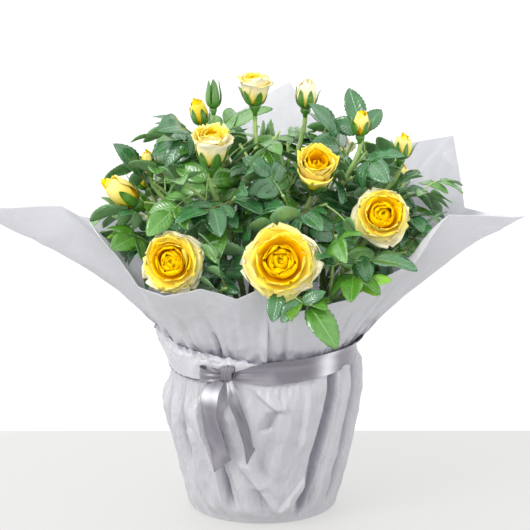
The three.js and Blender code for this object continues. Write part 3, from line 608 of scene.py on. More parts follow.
def skirtLine(v):  # radius and height, from the middle of the foot to its edge and up the side
    outline = np.array(skirtOutline, float)
    steps = np.concatenate([[0], np.cumsum(np.hypot(*np.diff(outline, axis=0).T))])
    foot = skirt["footShare"]
    side = (v - foot) / (1 - foot)
    run = np.clip(side, 0, 1) * steps[-1]
    radius, z = [np.interp(run, steps, column) for column in outline.T]
    radius = np.where(side < 0, outline[0, 0] * np.clip(v / foot, 0.002, 1), radius)
    z = np.where(side < 0, 0, z)
    nearby = run + np.linspace(-skirt["rounding"], skirt["rounding"], 9)[:, None]
    rounded = [np.interp(nearby, steps, column).mean(axis=0) for column in outline.T]  # without sharp corners
    upper = z > skirt["roundAbove"]
    return np.where(upper, rounded[0], radius), np.where(upper, rounded[1], z)


def creaseDepth(degrees, z):
    inward = np.zeros_like(z)
    for top, topTurn, foot, footTurn, before, after, deep in skirtCreases:
        t = (top - z) / (top - foot)
        middle = topTurn + (footTurn - topTurn) * t
        away = (degrees - middle + 180) % 360 - 180
        tent = np.where(away < 0, 1 + away / before, 1 - away / after)
        inward = inward + deep * np.clip(tent, 0, 1) * ease(t, -0.12, 0.1) * (1 - ease(t, 0.85, 1.12))
    return inward


def skirtPlace(u, v):  # creases, facets and pleats push the plain outline in and out
    degrees = u * 360
    radius, z = skirtLine(v)
    flat = polarGrid(radius, degrees, z)
    patches = np.array([noise.noise(Vector(p)) for p in flat / [30, 30, 38]])
    facets = tri(degrees / 31 + z / 260) + 0.8 * tri(degrees / 19 - z / 95 + 0.3)
    facets = facets + 0.5 * tri(degrees / 15 + z / 46 + 0.7 + patches)
    facets = (facets - 0.9) * skirt["facets"] * np.clip(0.65 + 1.1 * patches, 0.1, 1.3)
    inward = np.clip(creaseDepth(degrees, z) * skirt["crease"] + facets, skirt["least"], skirt["most"])
    inward = inward + ridged(flat, 9, 19, 2) * skirt["fine"]
    grip = (1 - ease(z, 100, 114)) * (0.25 * ease(z, 0.2, 3) + 0.75 * ease(z, 2, 18))
    pleats = 1.1 * foldWave(degrees, 1 - z / 124, 76, 2) * ease(z, 90, 108) * (1 - ease(z, 113, 123))
    front = np.clip(-np.sin(np.radians(degrees)), 0, 1)
    tuck = skirt["tuck"] * radius * front**2 * (1 - ease(z, 0, 14))
    # Painted shade: darker the deeper the paper lies in a crease or pleat, and a little darker all over the
    # skirt
    paintedFoldShade["skirt"] = np.clip((inward * grip + pleats - 0.4) / 5.5, 0.16, 1)
    return polarGrid(radius - inward * grip - pleats - tuck, degrees, z + shoulderShift(degrees, z))


def makeSkirt(material):
    piece = flatSheet("paper_skirt", skirt["around"], skirt["up"], skirtPlace)
    keepValues(piece.data, "fold", paintedFoldShade["skirt"])
    mendPiece(piece)
    bpy.ops.object.shade_smooth_by_angle(angle=math.radians(13))
    finishPiece(piece, material, "wrapping_paper", "wrap_skirt")
    print("skirt made")


# The collar's cut edge: degrees, radius, height, and how far the sheet bulges up below the edge.
collarEdge = np.array([
    (-87, 84, 169, 0), (-78, 85, 166, 0), (-66, 88, 168, 0), (-49, 95, 174, 1), (-30, 121, 197, 2),
    (-24.5, 138, 228, 4), (-12.5, 185, 222.5, 7), (5, 166, 212, 4), (20, 159, 208.5, 5),
    (33.4, 172.5, 255.5, 5), (60, 136, 234.5, 4), (80.5, 124, 292, 0), (105, 121, 263, 2),
    (128.5, 128, 244, 4), (163.5, 126, 204, 3), (184, 212, 223.5, 9), (194.3, 141.5, 229, 6),
    (200.7, 127, 221, 5), (207, 121, 209, 4), (219, 107, 180, 2), (232.7, 107, 178, 2), (246.6, 102, 185, 2),
    (260.2, 95, 178.5, 1), (270, 89, 185, 1), (273, 88, 184, 1),
])
seam = collarEdge[0, 0], collarEdge[-1, 0]
collar = {
    "around": 640, "out": 60, "creases": 40, "crumple": 1.0, "under": 0.07, "tucked": 8,
    "middle": -0.6, "overlap": 11, "inner": 2.6,
}


def edgeAt(degrees):
    degrees = np.asarray(degrees, float)
    after = np.clip(np.searchsorted(collarEdge[:, 0], degrees), 1, len(collarEdge) - 1)
    a, b = collarEdge[after - 1], collarEdge[after]
    t = np.clip((degrees - a[..., 0]) / (b[..., 0] - a[..., 0]), 0, 1)[..., None]
    spot = blend(polarGrid(a[..., 1], a[..., 0], a[..., 2]), polarGrid(b[..., 1], b[..., 0], b[..., 2]), t)
    return np.hypot(spot[..., 0], spot[..., 1]), spot[..., 2], blend(a[..., 3], b[..., 3], t[..., 0])


def collarPoint(degrees, share, out=0.0):  # share 0 is at the ribbon, 1 at the cut edge
    degrees, share = np.asarray(degrees, float), np.asarray(share, float)
    radius, z, bulge = edgeAt(degrees)
    low = paper["neckTop"] + paper["gap"]
    run, rise = radius - paper["neckRadius"], z - low
    length = np.hypot(run, rise)
    lift = 4 * share * (1 - share) * bulge + out
    lifted = run / length * lift * ease(share, -0.3, 0.1)
    distance = paper["neckRadius"] + run * share - rise / length * lift
    return polarGrid(distance, degrees, low + rise * share + lifted)


def collarCreases(degrees, share):
    total = 1.3 * (foldWave(degrees, share, 58, 5) - 0.5) * (1 - np.clip(share, 0, 1)) ** 1.5
    for k in range(collar["creases"]):
        at = seam[0] + 360 * (k + dice(k, 1)) / collar["creases"]
        middle = at + (dice(k, 2) - 0.5) * 16 * share
        wide = 1.4 + 4.2 * dice(k, 3)
        deep = (0.8 + 2.6 * dice(k, 4)) * (1 if dice(k, 5) < 0.5 else -1)
        reach = 0.35 + 0.8 * dice(k, 6)
        fade = 1 - ease(share, reach * 0.5, reach)
        total = total + deep * np.clip(1 - np.abs(degrees - middle) / wide, 0, 1) * fade
    return total * ease(share, -0.02, 0.1)


def collarPlace(u, v):
    degrees = seam[1] - 0.15 - (360 + collar["overlap"]) * (1 - u)
    share = v * (1 + collar["under"]) - collar["under"]
    flat = collarPoint(degrees, np.clip(share, 0, 1))
    facets = ridged(flat, 34, 34, 4) + ridged(flat, 13, 13, 5) * 0.35
    lift = collarCreases(degrees, share) + collar["crumple"] * (facets - 0.45) * ease(share, 0, 0.15)
    # Painted shade: the front panel a little darker, the crumples at the collar's foot much darker
    front = np.clip(-np.sin(np.radians(degrees)) * 1.4 - 0.3, 0, 1)
    gathered = (1 - ease(share, 0.02, 0.26)) * (ridged(flat, 6, 9, 6) * 1.5 + 0.05)
    paintedFoldShade["collar"] = 0.12 * front + np.clip(gathered, 0, 1)
    inner = collar["inner"] * (1 - ease(u, 0, 0.09))  # the sheet's first edge lies inside its last
    points = collarPoint(degrees, np.clip(share, 0, 1), lift + collar["middle"] + inner)
    tucked = np.clip(-share / collar["under"], 0, 1)[:, None]  # the sheet goes on below the ribbon's top edge
    below = polarGrid(paper["neckRadius"] + 0.5 - inner, degrees, paper["neckTop"] - collar["tucked"])
    return blend(points, below, tucked)


paintedShadeTurns = {"from": 6, "to": 60, "soft": 9}  # degrees between which painted shade darkens the inner side of the collar, where its rear right panel stands in the light


# Painted shade on the inner side of the sheet, kept for each point
def keepPaintedShade(piece):
    spots = readPoints(piece.data)
    radius = np.hypot(spots[:, 0], spots[:, 1])
    turns = np.degrees(np.arctan2(spots[:, 1], spots[:, 0]))
    one, other = np.split(radius, 2)  # the two sides of the sheet
    amount = ease(turns, paintedShadeTurns["from"], paintedShadeTurns["from"] + paintedShadeTurns["soft"])
    amount = amount * (1 - ease(turns, paintedShadeTurns["to"] - paintedShadeTurns["soft"], paintedShadeTurns["to"]))
    keepValues(piece.data, "paintedShadeRear", amount * np.concatenate([one < other, one > other]))


def makeCollar(material):
    piece = flatSheet("paper_collar", collar["around"], collar["out"], collarPlace)
    keepValues(piece.data, "fold", paintedFoldShade["collar"])
    thicken(piece, paper["sheet"], 32)
    keepPaintedShade(piece)
    nodes = [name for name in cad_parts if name.startswith("collar_")]
    finishPiece(piece, material, "wrapping_paper", *nodes)
    print("collar made")


cuff = {"from": 164, "to": 268, "bottomRadius": 67.6, "around": 240, "up": 30, "sheet": 0.5}
# Its lower and its upper edge: degrees and height.
cuffLow = [(164, 122), (178, 107.5), (214, 108.4), (236, 110.4), (246, 114.5), (256, 120), (268, 123.4)]
cuffTop = [(164, 128), (180, 134.5), (200, 134), (240, 130), (258, 128), (268, 124)]


def cuffPlace(u, v):
    degrees = blend(cuff["from"], cuff["to"], u)
    top = np.interp(degrees, *np.transpose(cuffTop))
    low = np.interp(degrees, *np.transpose(cuffLow))
    neck = paper["neckTop"] + paper["gap"]
    beside = collarPoint(degrees, (top - neck) / (edgeAt(degrees)[1] - neck), -0.9)
    topRadius = np.hypot(beside[..., 0], beside[..., 1]) + 2.8 * ease(u, 0.22, 0.5)
    roll = 1.2 * np.sin(np.clip(v, 0, 1) * math.pi)
    wave = 1.1 * (foldWave(degrees, v, 50, 8) - 0.5) * (1 - 0.4 * v)
    wave = wave + 0.5 * np.sin(np.radians(degrees * 11)) * v
    wave = wave * ease(u, 0, 0.2) * (1 - 0.7 * ease(u, 0.6, 0.85))
    foot = cuff["bottomRadius"] + 2 * ease(u, 0.3, 0.66)
    flat = polarGrid(blend(foot, topRadius, v**1.2) + roll + wave, degrees, blend(low, top, v))
    crush = ridged(flat, 5, 5, 6)
    # Painted shade along the cuff's crumpled top edge
    paintedFoldShade["cuff"] = np.clip(ease(v, 0.8, 1) * (0.1 + crush), 0, 1)
    drawn = 3.4 * ease(u, 0.86, 1)  # the end runs in under the ribbon
    push = -drawn + 1.6 * (crush - 0.4) * ease(v, 0.3, 1) * ease(u, 0, 0.12)
    return flat + polarGrid(push, degrees, 2.0 * (ridged(flat, 7, 7, 7) - 0.4) * ease(v, 0.6, 1))


def makeCuff(material):
    piece = flatSheet("paper_cuff", cuff["around"], cuff["up"], cuffPlace)
    keepValues(piece.data, "fold", paintedFoldShade["cuff"])
    thicken(piece, cuff["sheet"], 35)
    finishPiece(piece, material, "wrapping_paper", "wrap_cuff")
    print("cuff made")


ribbon = {
    "radius": 66.8, "thick": 1.1, "low": 110.6, "high": 123.7, "width": 13, "sheet": 0.45,
    "knotAngle": 250, "knotHeight": 118.2, "loopHeight": 117.2, "loopRadius": 74, "loopReach": 14.5,
}
# The band's last number is the middle of its painted highlight, in degrees
band = {"around": 300, "up": 14, "sheet": 0.5, "paintedGleam": -48}
# Each tail also gives the height of its painted highlight.
tails = {  # each line goes down from the knot: degrees, radius, height
    "ribbon_tail_long": {
        "line": [
            (246, 75.5, 114.5), (243.2, 77.5, 104), (242.2, 77.6, 92), (243.6, 76.2, 78), (246, 74.2, 64),
            (248, 72.2, 51),
        ],
        "turn": 0, "fold": 0.7, "top": 0.9, "wide": 0.98, "paintedGleam": 103,
    },
    "ribbon_tail_short": {
        "line": [(252.5, 74.2, 113.5), (255.5, 76.8, 101), (259, 76.3, 88), (261.5, 75.2, 76), (264, 74, 60)],
        "turn": 50, "fold": -1.2, "top": 0.45, "wide": 0.62, "paintedGleam": 111,
    },
}


def bandPlace(u, v):
    degrees = u * 360
    near = np.abs((degrees - ribbon["knotAngle"] + 180) % 360 - 180)
    wide = (ribbon["high"] - ribbon["low"]) * (1.28 - 0.62 * (1 - ease(near, 2, 30)))
    middle = (ribbon["low"] + ribbon["high"]) / 2 + 0.6 + 3.6 * np.cos(np.radians(degrees))
    z = middle + (v - 0.5) * wide
    slip = np.sin(np.radians(degrees * 2 + 20)) * 1.5
    pleats = 0.7 * np.sin(v * 7 + slip) + 0.35 * np.sin(v * 13 - slip * 1.7 + np.radians(degrees))
    gather = 0.5 * np.sin(v * 30) * (1 - ease(near, 4, 32))
    swell = 0.9 * (1 - ease(near, 2, 30)) * np.sin(v * math.pi)
    edge, top = edgeAt(np.where(degrees > seam[1], degrees - 360, degrees))[:2]
    slope = np.clip((edge - paper["neckRadius"]) / (top - paper["neckTop"]), 0, 0.85)
    flare = np.clip(z - paper["neckTop"] + 1, 0, 20) * slope  # its top leans out with the collar
    slack = 1.1 - 1.6 * np.exp(-(((degrees - 212) / 26) ** 2))  # drawn in where the cuff covers it
    ripple = (pleats + gather) * np.sin(v * math.pi) ** 0.4 * 0.6
    return polarGrid(ribbon["radius"] + slack + ripple + swell + flare, degrees, z)


def strip(name, place, across, along, sheet, material, *nodes):
    piece = flatSheet(name, across, along, place)
    thicken(piece, sheet, 50)
    return finishPiece(piece, material, "satin_ribbon", *nodes)


class Curve:  # a centripetal Catmull-Rom curve through the points, read by its share of length
    def __init__(self, points, samples=120):
        self.points = [Vector(p) for p in points]
        spots = [self.knot(k / samples) for k in range(samples + 1)]
        lengths = [(b - a).length for a, b in zip(spots, spots[1:])]
        self.steps = np.concatenate([[0], np.cumsum(lengths)])
        self.length = float(self.steps[-1])
        self.table = np.array([list(p) for p in spots])

    def knot(self, t):
        points = self.points
        last = len(points) - 1
        place = last * t
        k = min(int(place), last - 1)
        weight = place - k
        p1, p2 = points[k], points[k + 1]
        p0 = points[k - 1] if k > 0 else p1 * 2 - p2
        p3 = points[k + 2] if k + 2 <= last else p2 * 2 - p1
        pairs = ((p0, p1), (p1, p2), (p2, p3))
        dt0, dt1, dt2 = [max((b - a).length_squared, 1e-12) ** 0.25 for a, b in pairs]
        t1 = (p1 - p0) / dt0 - (p2 - p0) / (dt0 + dt1) + (p2 - p1) / dt1
        t2 = (p2 - p1) / dt1 - (p3 - p1) / (dt1 + dt2) + (p3 - p2) / dt2
        t1, t2 = t1 * dt1, t2 * dt1
        c2 = -3 * p1 + 3 * p2 - 2 * t1 - t2
        c3 = 2 * p1 - 2 * p2 + t1 + t2
        return p1 + t1 * weight + c2 * weight**2 + c3 * weight**3

    def trace(self, run):  # the places at these lengths along the curve
        return np.stack([np.interp(run, self.steps, column) for column in self.table.T], -1)

    def at(self, share):
        return Vector(self.trace(np.clip(share, 0, 1) * self.length))

    def way(self, share):
        step = 1e-3
        return (self.at(min(share + step, 1)) - self.at(max(share - step, 0))).normalized()

    def spots(self, count):
        return self.trace(np.linspace(0, self.length, count))


def tailPlace(tail):
    curve = Curve([polar(r, d, z) for d, r, z in tail["line"]])

    def place(u, v):
        spot = curve.trace(v * curve.length)
        out = spot * [1, 1, 0]
        out /= np.linalg.norm(out, axis=1, keepdims=True)
        shares = np.linspace(0, 1, len(curve.table))
        way = np.stack([np.interp(v, shares, np.gradient(column)) for column in curve.table.T], 1)
        way /= np.linalg.norm(way, axis=1, keepdims=True)
        turn = math.radians(tail["turn"])
        side = np.cross(way, out)
        side /= np.linalg.norm(side, axis=1, keepdims=True)
        side = side * math.cos(turn) + out * math.sin(turn)
        half = ribbon["width"] / 2 * blend(tail["top"], 1, ease(v, 0, 0.25)) * tail["wide"]
        crease = tail["fold"] * np.cos(u * math.pi * 3 + v * 2) * (1 - 0.7 * v)
        crease = crease + 0.5 * np.sin(v * 17 + u * 4)
        slant = (0.5 - u) * 8 * ease(v, 0.86, 1)
        points = spot + side * ((u * 2 - 1) * half)[:, None] + out * (0.8 + crease)[:, None]
        points[:, 2] += slant
        return points

    return place


def loopPlace(u, v):  # the flat loop left of the knot, from the knot out and back under itself
    turn = v * math.pi
    reach = ribbon["loopReach"] * np.sin(turn) ** 0.8
    degrees = ribbon["knotAngle"] - 2 - reach * 0.86
    radius = ribbon["loopRadius"] + 4.8 * np.cos(turn) * np.sin(turn) ** 0.3 + 1.2 * np.sin(turn)
    tall = ribbon["width"] * (0.42 + 0.5 * np.sin(turn))
    fold = 0.7 * np.cos(u * math.pi * 4) * (1 - 0.6 * np.sin(turn))
    z = ribbon["loopHeight"] + (u - 0.5) * tall - 1.6 * np.sin(turn) * (1 - v)
    return polarGrid(radius + fold, degrees, z)


def knotPlace(u, v):  # a band of ribbon drawn tight round the knot, creased lengthwise
    turn = v * 2 * math.pi
    across = (u - 0.5) * 2
    wide = 4.6 + 1.1 * np.sin(turn * 0.5)
    crease = 0.42 * np.cos(u * math.pi * 7 + np.sin(turn)) * (1 - across**2)
    tall, deep = 5.7 - 1.1 * across**2 + crease, 3.2 - 1.3 * across**2 + crease
    middle = polar(ribbon["radius"] + ribbon["thick"] + 4.1, ribbon["knotAngle"], ribbon["knotHeight"])
    out = Vector((middle.x, middle.y, 0)).normalized()
    side = Vector((-out.y, out.x, 0))
    lean = across * wide + 0.8 * np.sin(turn)
    ringOut, ringUp = deep * np.cos(turn), tall * np.sin(turn)
    level = np.array(middle) + np.outer(lean, side) + np.outer(ringOut, out)
    return level + np.outer(ringUp + 0.9 * across, (0, 0, 1))


def addPaintedGleam(piece, away, wide):  # a painted highlight: a pale patch where the satin catches the light
    keepValues(piece.data, "paintedGleam", np.exp(-((away / wide) ** 2)))


def makeRibbon(material):
    piece = strip("satin_band", bandPlace, band["around"], band["up"], band["sheet"], material, "ribbon_band")
    mendPiece(piece)
    spots = readPoints(piece.data)
    addPaintedGleam(piece, np.degrees(np.arctan2(spots[:, 1], spots[:, 0])) - band["paintedGleam"], 7)
    sheet = ribbon["sheet"]
    for node, tail in tails.items():
        piece = strip(node.replace("ribbon", "satin"), tailPlace(tail), 12, 60, sheet, material, node)
        addPaintedGleam(piece, readPoints(piece.data)[:, 2] / millimetre - tail["paintedGleam"], 5)
    strip("satin_loop", loopPlace, 12, 40, sheet, material)
    strip("satin_knot", knotPlace, 22, 36, sheet, material, "ribbon_knot")
    print("ribbon made")


soil = {
    "top": 101.5, "low": 4.1, "radiusTop": 56.1, "radiusLow": 40.3, "around": 120, "rings": 44, "wall": 0.3,
    "sunk": 2,
}


def soilPlace(u, v):  # up the wall, then over the crumbly top to its middle
    wall, level = soil["wall"], soil["top"] - soil["sunk"]
    side = v < wall
    share = np.where(side, v / wall, 1 - (v - wall) / (1 - wall))
    taper = blend(soil["radiusLow"], soil["radiusTop"], share)
    radius = np.where(side, taper, soil["radiusTop"] * np.clip(share, 0.003, 1))
    flat = polarGrid(radius, u * 360, np.where(side, blend(soil["low"], level, share), level))
    lumps = np.array([noise.fractal(Vector(p) / 7, 1, 2, 4) for p in flat])
    return flat + np.outer(np.where(side, 0, 1) * (1.4 + 1.6 * lumps) * ease(v, 0.3, 0.36), (0, 0, 1))


def makeSoil():
    piece = flatSheet("compost_crumbs", soil["around"], soil["rings"], soilPlace)
    mendPiece(piece)
    bpy.ops.object.shade_smooth()
    finishPiece(piece, soilMaterial(), "compost", "compost")
    print("compost made")


# Each bloom: its middle, the way it faces, its width and how far it has opened.
bloomParts = ("at", "face", "wide", "stage")
bloomRows = {
    "big": ((12.5, -92, 203), (-0.05, -0.93, 0.36), 50, "open"),
    "leftOpen": ((-60.5, -72, 198), (-0.2, -0.92, 0.3), 42, "open"),
    "rightOpen": ((82, -45, 224), (0.02, -0.9, 0.42), 39, "open"),
    "middle": ((37, -38, 253.5), (0.1, -0.62, 0.76), 29, "half"),
    "upperLeft": ((-34, -45, 271), (0.04, -0.36, 0.92), 27, "half"),
    "top": ((-5, 0, 304), (0, -0.15, 0.98), 22, "half"),
    "creamBud": ((31.5, 20, 298), (0.06, -0.1, 0.98), 14, "bud"),
    "yellowBud": ((-45, 22, 285), (-0.22, -0.1, 0.96), 13, "bud"),
    "greenBud": ((-34, 2, 297), (0, 0, 1), 9, "bud"),
    "leftBud": ((-80.5, 5, 253), (-0.15, -0.1, 0.97), 10, "bud"),
    "tiltedBud": ((-98.5, -25, 236), (-0.72, -0.25, 0.62), 19, "bud"),
    "rightBud": ((68.5, -10, 282), (0.03, -0.1, 0.99), 12, "bud"),
    "tipBud": ((100, 15, 261), (0.15, 0, 0.98), 12, "bud"),
    "rearOpen": ((-46, 62, 240), (-0.3, 0.75, 0.55), 42, "open"),
    "rearHalf": ((52, 62, 247), (0.3, 0.6, 0.75), 27, "half"),
    "rearBud": ((4, 62, 258), (0, 0.3, 0.95), 9, "bud"),
    "rearRightBud": ((96, 52, 232), (0.5, 0.3, 0.8), 18, "bud"),
    "rearLeftBud": ((-88, 46, 232), (-0.5, 0.3, 0.8), 12, "bud"),
}
blooms = {name: dict(zip(bloomParts, row)) for name, row in bloomRows.items()}

# Each mass: the cane it hangs on, where its bough ends, its blooms, the tips of its leafy shoots.
masses = {
    "front": (0, (9, -48, 158), ["big"], [(34, -84, 172), (-14, -62, 206)]),
    "front_left": (1, (-34, -44, 152), ["leftOpen"], [(-24, -80, 182), (-66, -54, 174)]),
    "left": (1, (-54, -24, 178), ["tiltedBud"], [(-100, -26, 202), (-80, -38, 222)]),
    "left_high": (2, (-50, 4, 196), ["leftBud"], [(-76, -8, 240), (-96, 8, 222)]),
    "upper_left": (0, (-20, -26, 196), ["upperLeft"], [(-54, -38, 246), (-18, -58, 240)]),
    "top_left": (2, (-26, 12, 222), ["yellowBud", "greenBud"], [(-56, 12, 276), (-40, -12, 262)]),
    "top": (3, (-3, 4, 216), ["top"], [(12, -8, 276), (-16, 10, 264)]),
    "top_right": (4, (20, 16, 214), ["creamBud"], [(44, 10, 270), (18, 20, 262)]),
    "middle": (6, (22, -24, 192), ["middle"], [(14, -54, 240), (44, -44, 232)]),
    "right_high": (5, (44, -4, 204), ["rightBud"], [(74, 2, 260), (62, -22, 246)]),
    "right_tip": (5, (58, 12, 190), ["tipBud"], [(116, 4, 232), (98, -4, 212)]),
    "right": (6, (48, -26, 168), ["rightOpen"], [(100, -36, 196), (82, -18, 218)]),
    "front_right": (6, (36, -46, 154), [], [(64, -62, 192), (44, -66, 168), (50, -60, 214)]),
    "rear_left": (3, (-30, 34, 176), ["rearOpen"], [(-40, 46, 262), (-64, 58, 218)]),
    "rear": (3, (4, 36, 186), ["rearBud"], [(20, 52, 248), (-10, 60, 236)]),
    "rear_right": (4, (34, 36, 180), ["rearHalf"], [(66, 40, 260), (50, 66, 226)]),
    "right_rear": (4, (56, 34, 172), ["rearRightBud"], [(88, 32, 226), (88, 60, 212)]),
    "left_rear": (2, (-54, 28, 178), ["rearLeftBud"], [(-78, 40, 210), (-66, 30, 238)]),
}
canes = [  # the angle of each at its foot, and its tip
    (-92, (-4, -30, 138)), (-146, (-32, -28, 136)), (172, (-38, 8, 142)), (104, (-8, 26, 140)),
    (42, (30, 22, 140)), (2, (40, 0, 144)), (-46, (28, -30, 138)),
]
wood = {
    "gap": 0.35, "neck": 9, "caneFoot": 3, "caneTip": 2.3, "boughFoot": 2.1, "boughTip": 1.9,
    "stemFoot": 1.85, "stemTip": 1.6, "sideFoot": 1.25, "sideTip": 0.95, "stalkFoot": 0.62, "stalkTip": 0.4,
}
leaf = {
    "leaflet": 29, "breadth": 0.58, "stalk": 30, "thick": 0.28, "spacing": 10, "golden": 137.5, "most": 6,
    "tries": 12, "retry": 47, "outward": 0.009, "shared": 22, "rows": 19, "cols": 5, "teeth": 0.04,
    "first": 2, "lowest": 6, "under": 3,
    "pairs": [(0.72, 60, 0.86), (0.36, 72, 0.7)],  # place along the stalk, degrees, size
}
clear = {"soil": 14, "collar": 7, "neck": 8, "neckInside": 54, "inside": 5}  # what leaves keep free
upward = Vector((0, 0, 1))
forks = (1, 0.78, 0.58, 0.4)  # where boughs leave their cane, as shares of its length
# What the blooms of a stage share, in widths: from their middle back to their foot, from there to the
# petals, how far out the sepals stand, their neck, hip and brim, and a coarse outline for telling what
# touches them. Below them their stem is bare for so many millimetres.
forms = {
    "open": {
        "back": 0.2, "lift": 0.03, "outside": 1.05, "hip": (0.06, 0.09, 0.07), "bare": 12,
        "block": [(0.02, -0.22), (0.4, -0.12), (0.52, 0.03), (0.5, 0.7), (0.02, 0.72)],
    },
    "half": {
        "back": 0.5, "lift": 0.02, "outside": 1.25, "hip": (0.1, 0.2, 0.19), "bare": 14,
        "block": [(0.1, -0.5), (0.42, -0.3), (0.5, 0.1), (0.52, 0.6), (0.02, 0.62)],
    },
    "bud": {
        "back": 0.8, "lift": 0.1, "outside": 1.2, "hip": (0.17, 0.27, 0.26), "bare": 10,
        "block": [(0.2, -0.8), (0.44, -0.5), (0.5, 0.02), (0.3, 0.5), (0.02, 0.8)],
    },
}
longStalk = {"upperLeft": 36}  # a bloom whose stem is bare for longer than its stage has it


def bloomTurn(bloom):  # turns what is modelled along +Z to face the bloom's way
    return np.array(upward.rotation_difference(Vector(bloom["face"]).normalized()).to_matrix())


def canePath(angle, tip):
    height = soil["top"] + 8.6
    foot = polar(wood["neck"] + wood["gap"], angle, height)
    out = polar(wood["neck"] + 4, angle, height + 0.7)
    end = Vector(tip)
    bow = out.lerp(end, 0.55) + polar(3, angle, -4)
    return [foot, polar(wood["neck"] + 1.4, angle, height), out, bow, end]


def boughPaths():  # each cane goes on as its first bough, and the others leave it lower down
    paths = {}
    for number, (angle, tip) in enumerate(canes):
        curve = Curve(canePath(angle, tip))
        names = [name for name in masses if masses[name][0] == number]
        for k, name in enumerate(names):
            end = Vector(masses[name][1])
            share = forks[k]
            at, along = curve.at(share), curve.way(share)
            if k == 0:
                foot = at + along * wood["gap"]
                lead = foot + along * 5
                paths[name] = [foot, foot + along, lead, lead.lerp(end, 0.6), end]
            else:
                side = squareTo(along, end - at)
                reach = blend(wood["caneFoot"], wood["caneTip"], share) + wood["gap"]
                lead = at + side * (reach + 4) + along * 1.4
                bow = lead.lerp(end, 0.55) + upward * 2
                paths[name] = [at + side * reach, at + side * (reach + 1), lead, bow, end]
    return paths


def stemsOf(name, bough):  # the bough's leader, with its first bloom if it has one, and the rest
    start, flowers, tips = masses[name][1:]
    end = Vector(start)
    along = Curve(bough).way(1)
    foot = end + along * wood["gap"]
    plans = []
    for key in flowers:
        bloom, form = blooms[key], forms[blooms[key]["stage"]]
        facing = Vector(bloom["face"]).normalized()
        back = Vector(bloom["at"]) - facing * form["back"] * bloom["wide"]
        plans.append(([back - facing * form["bare"], back], key, longStalk.get(key, form["bare"])))
    plans += [([Vector(tip)], None, 0) for tip in tips]
    stems, main = [], None
    for k, (points, key, bare) in enumerate(plans):
        if main is None:
            path = [foot, foot + along, foot + along * 9, *points]
            main = Curve(path)
            sizes = (wood["stemFoot"], wood["stemTip"])
        else:
            leave = main.at((5 + 7 * k) / main.length)
            path = [leave, leave.lerp(points[0], 0.45) + upward * 4, *points]
            sizes = (wood["sideFoot"], wood["sideTip"])
        stems.append({"curve": Curve(path), "bloom": key, "bare": bare, "sizes": sizes})
    return stems


class Room:  # what is taken, for telling whether a new leaf would touch it
    def __init__(self):
        self.low, self.high, self.trees, self.owners = [], [], [], []

    def take(self, points, faces, owner):
        self.low.append(points.min(0))
        self.high.append(points.max(0))
        self.trees.append(BVHTree.FromPolygons(points.tolist(), faces))
        self.owners.append(owner)

    def touches(self, points, faces, owner):
        low, high = np.array(self.low), np.array(self.high)
        near = np.nonzero(np.all((low < points.max(0)) & (high > points.min(0)), axis=1))[0]
        if len(near) == 0:
            return False
        tree = BVHTree.FromPolygons(points.tolist(), faces)
        return any(self.owners[k] != owner and tree.overlap(self.trees[k]) for k in near)


kiteFaces = [f for i in range(4) for f in ((4, i, (i + 1) % 4), (5, (i + 1) % 4, i))]


def kite(leaflet, thick=1.3, grown=1.03):  # a coarse leaflet of six corners, for telling what touches it
    along = leaflet["tip"] - leaflet["base"]
    side = along.cross(leaflet["normal"]).normalized()
    top = side.cross(along).normalized()
    half = leaflet["long"] * leaf["breadth"] / 2

    def at(t, across, lift):
        return list(leaflet["base"] + along * t + side * across + top * lift)

    return np.array([
        at(0.05, 0, 0), at(0.42, half, half * 0.15), at(grown, 0, 0), at(0.42, -half, half * 0.15),
        at(0.42, 0, thick), at(0.42, 0, -thick),
    ])


def prism(points, radius):  # a three-sided limb through the points, for telling what touches it
    points = [Vector(p) for p in points]
    ring = []
    for k, p in enumerate(points):
        way = (points[min(k + 1, len(points) - 1)] - points[max(k - 1, 0)]).normalized()
        side = way.orthogonal().normalized()
        other = way.cross(side)
        ring += [list(p + (side * math.cos(t) + other * math.sin(t)) * radius) for t in (0, 2.0944, 4.1888)]
    faces = []
    for k in range(len(points) - 1):
        for i in range(3):
            a, b = k * 3 + i, k * 3 + (i + 1) % 3
            faces.append((a, b, b + 3, a + 3))
    return np.array(ring), faces


def isFree(p, name, skeletons):  # clear of compost and paper, and not deep in another mass
    radius = math.hypot(p.x, p.y)
    if p.z < soil["top"] + clear["soil"]:
        return False
    if radius > clear["neckInside"] and p.z < paper["neckTop"] + clear["neck"]:
        return False
    degrees = math.degrees(math.atan2(p.y, p.x))
    degrees += 360 if degrees < seam[0] else 0
    edgeRadius = float(edgeAt(degrees)[0])
    share = (radius - paper["neckRadius"] + clear["inside"]) / (edgeRadius - paper["neckRadius"])
    if share > 0 and p.z < float(collarPoint(degrees, min(share, 1))[2]) + clear["collar"]:
        return False
    spot = np.array(p)
    near = {other: np.min(np.linalg.norm(spots - spot, axis=1)) for other, spots in skeletons.items()}
    own = near.pop(name)
    return min(near.values()) > own - leaf["shared"]


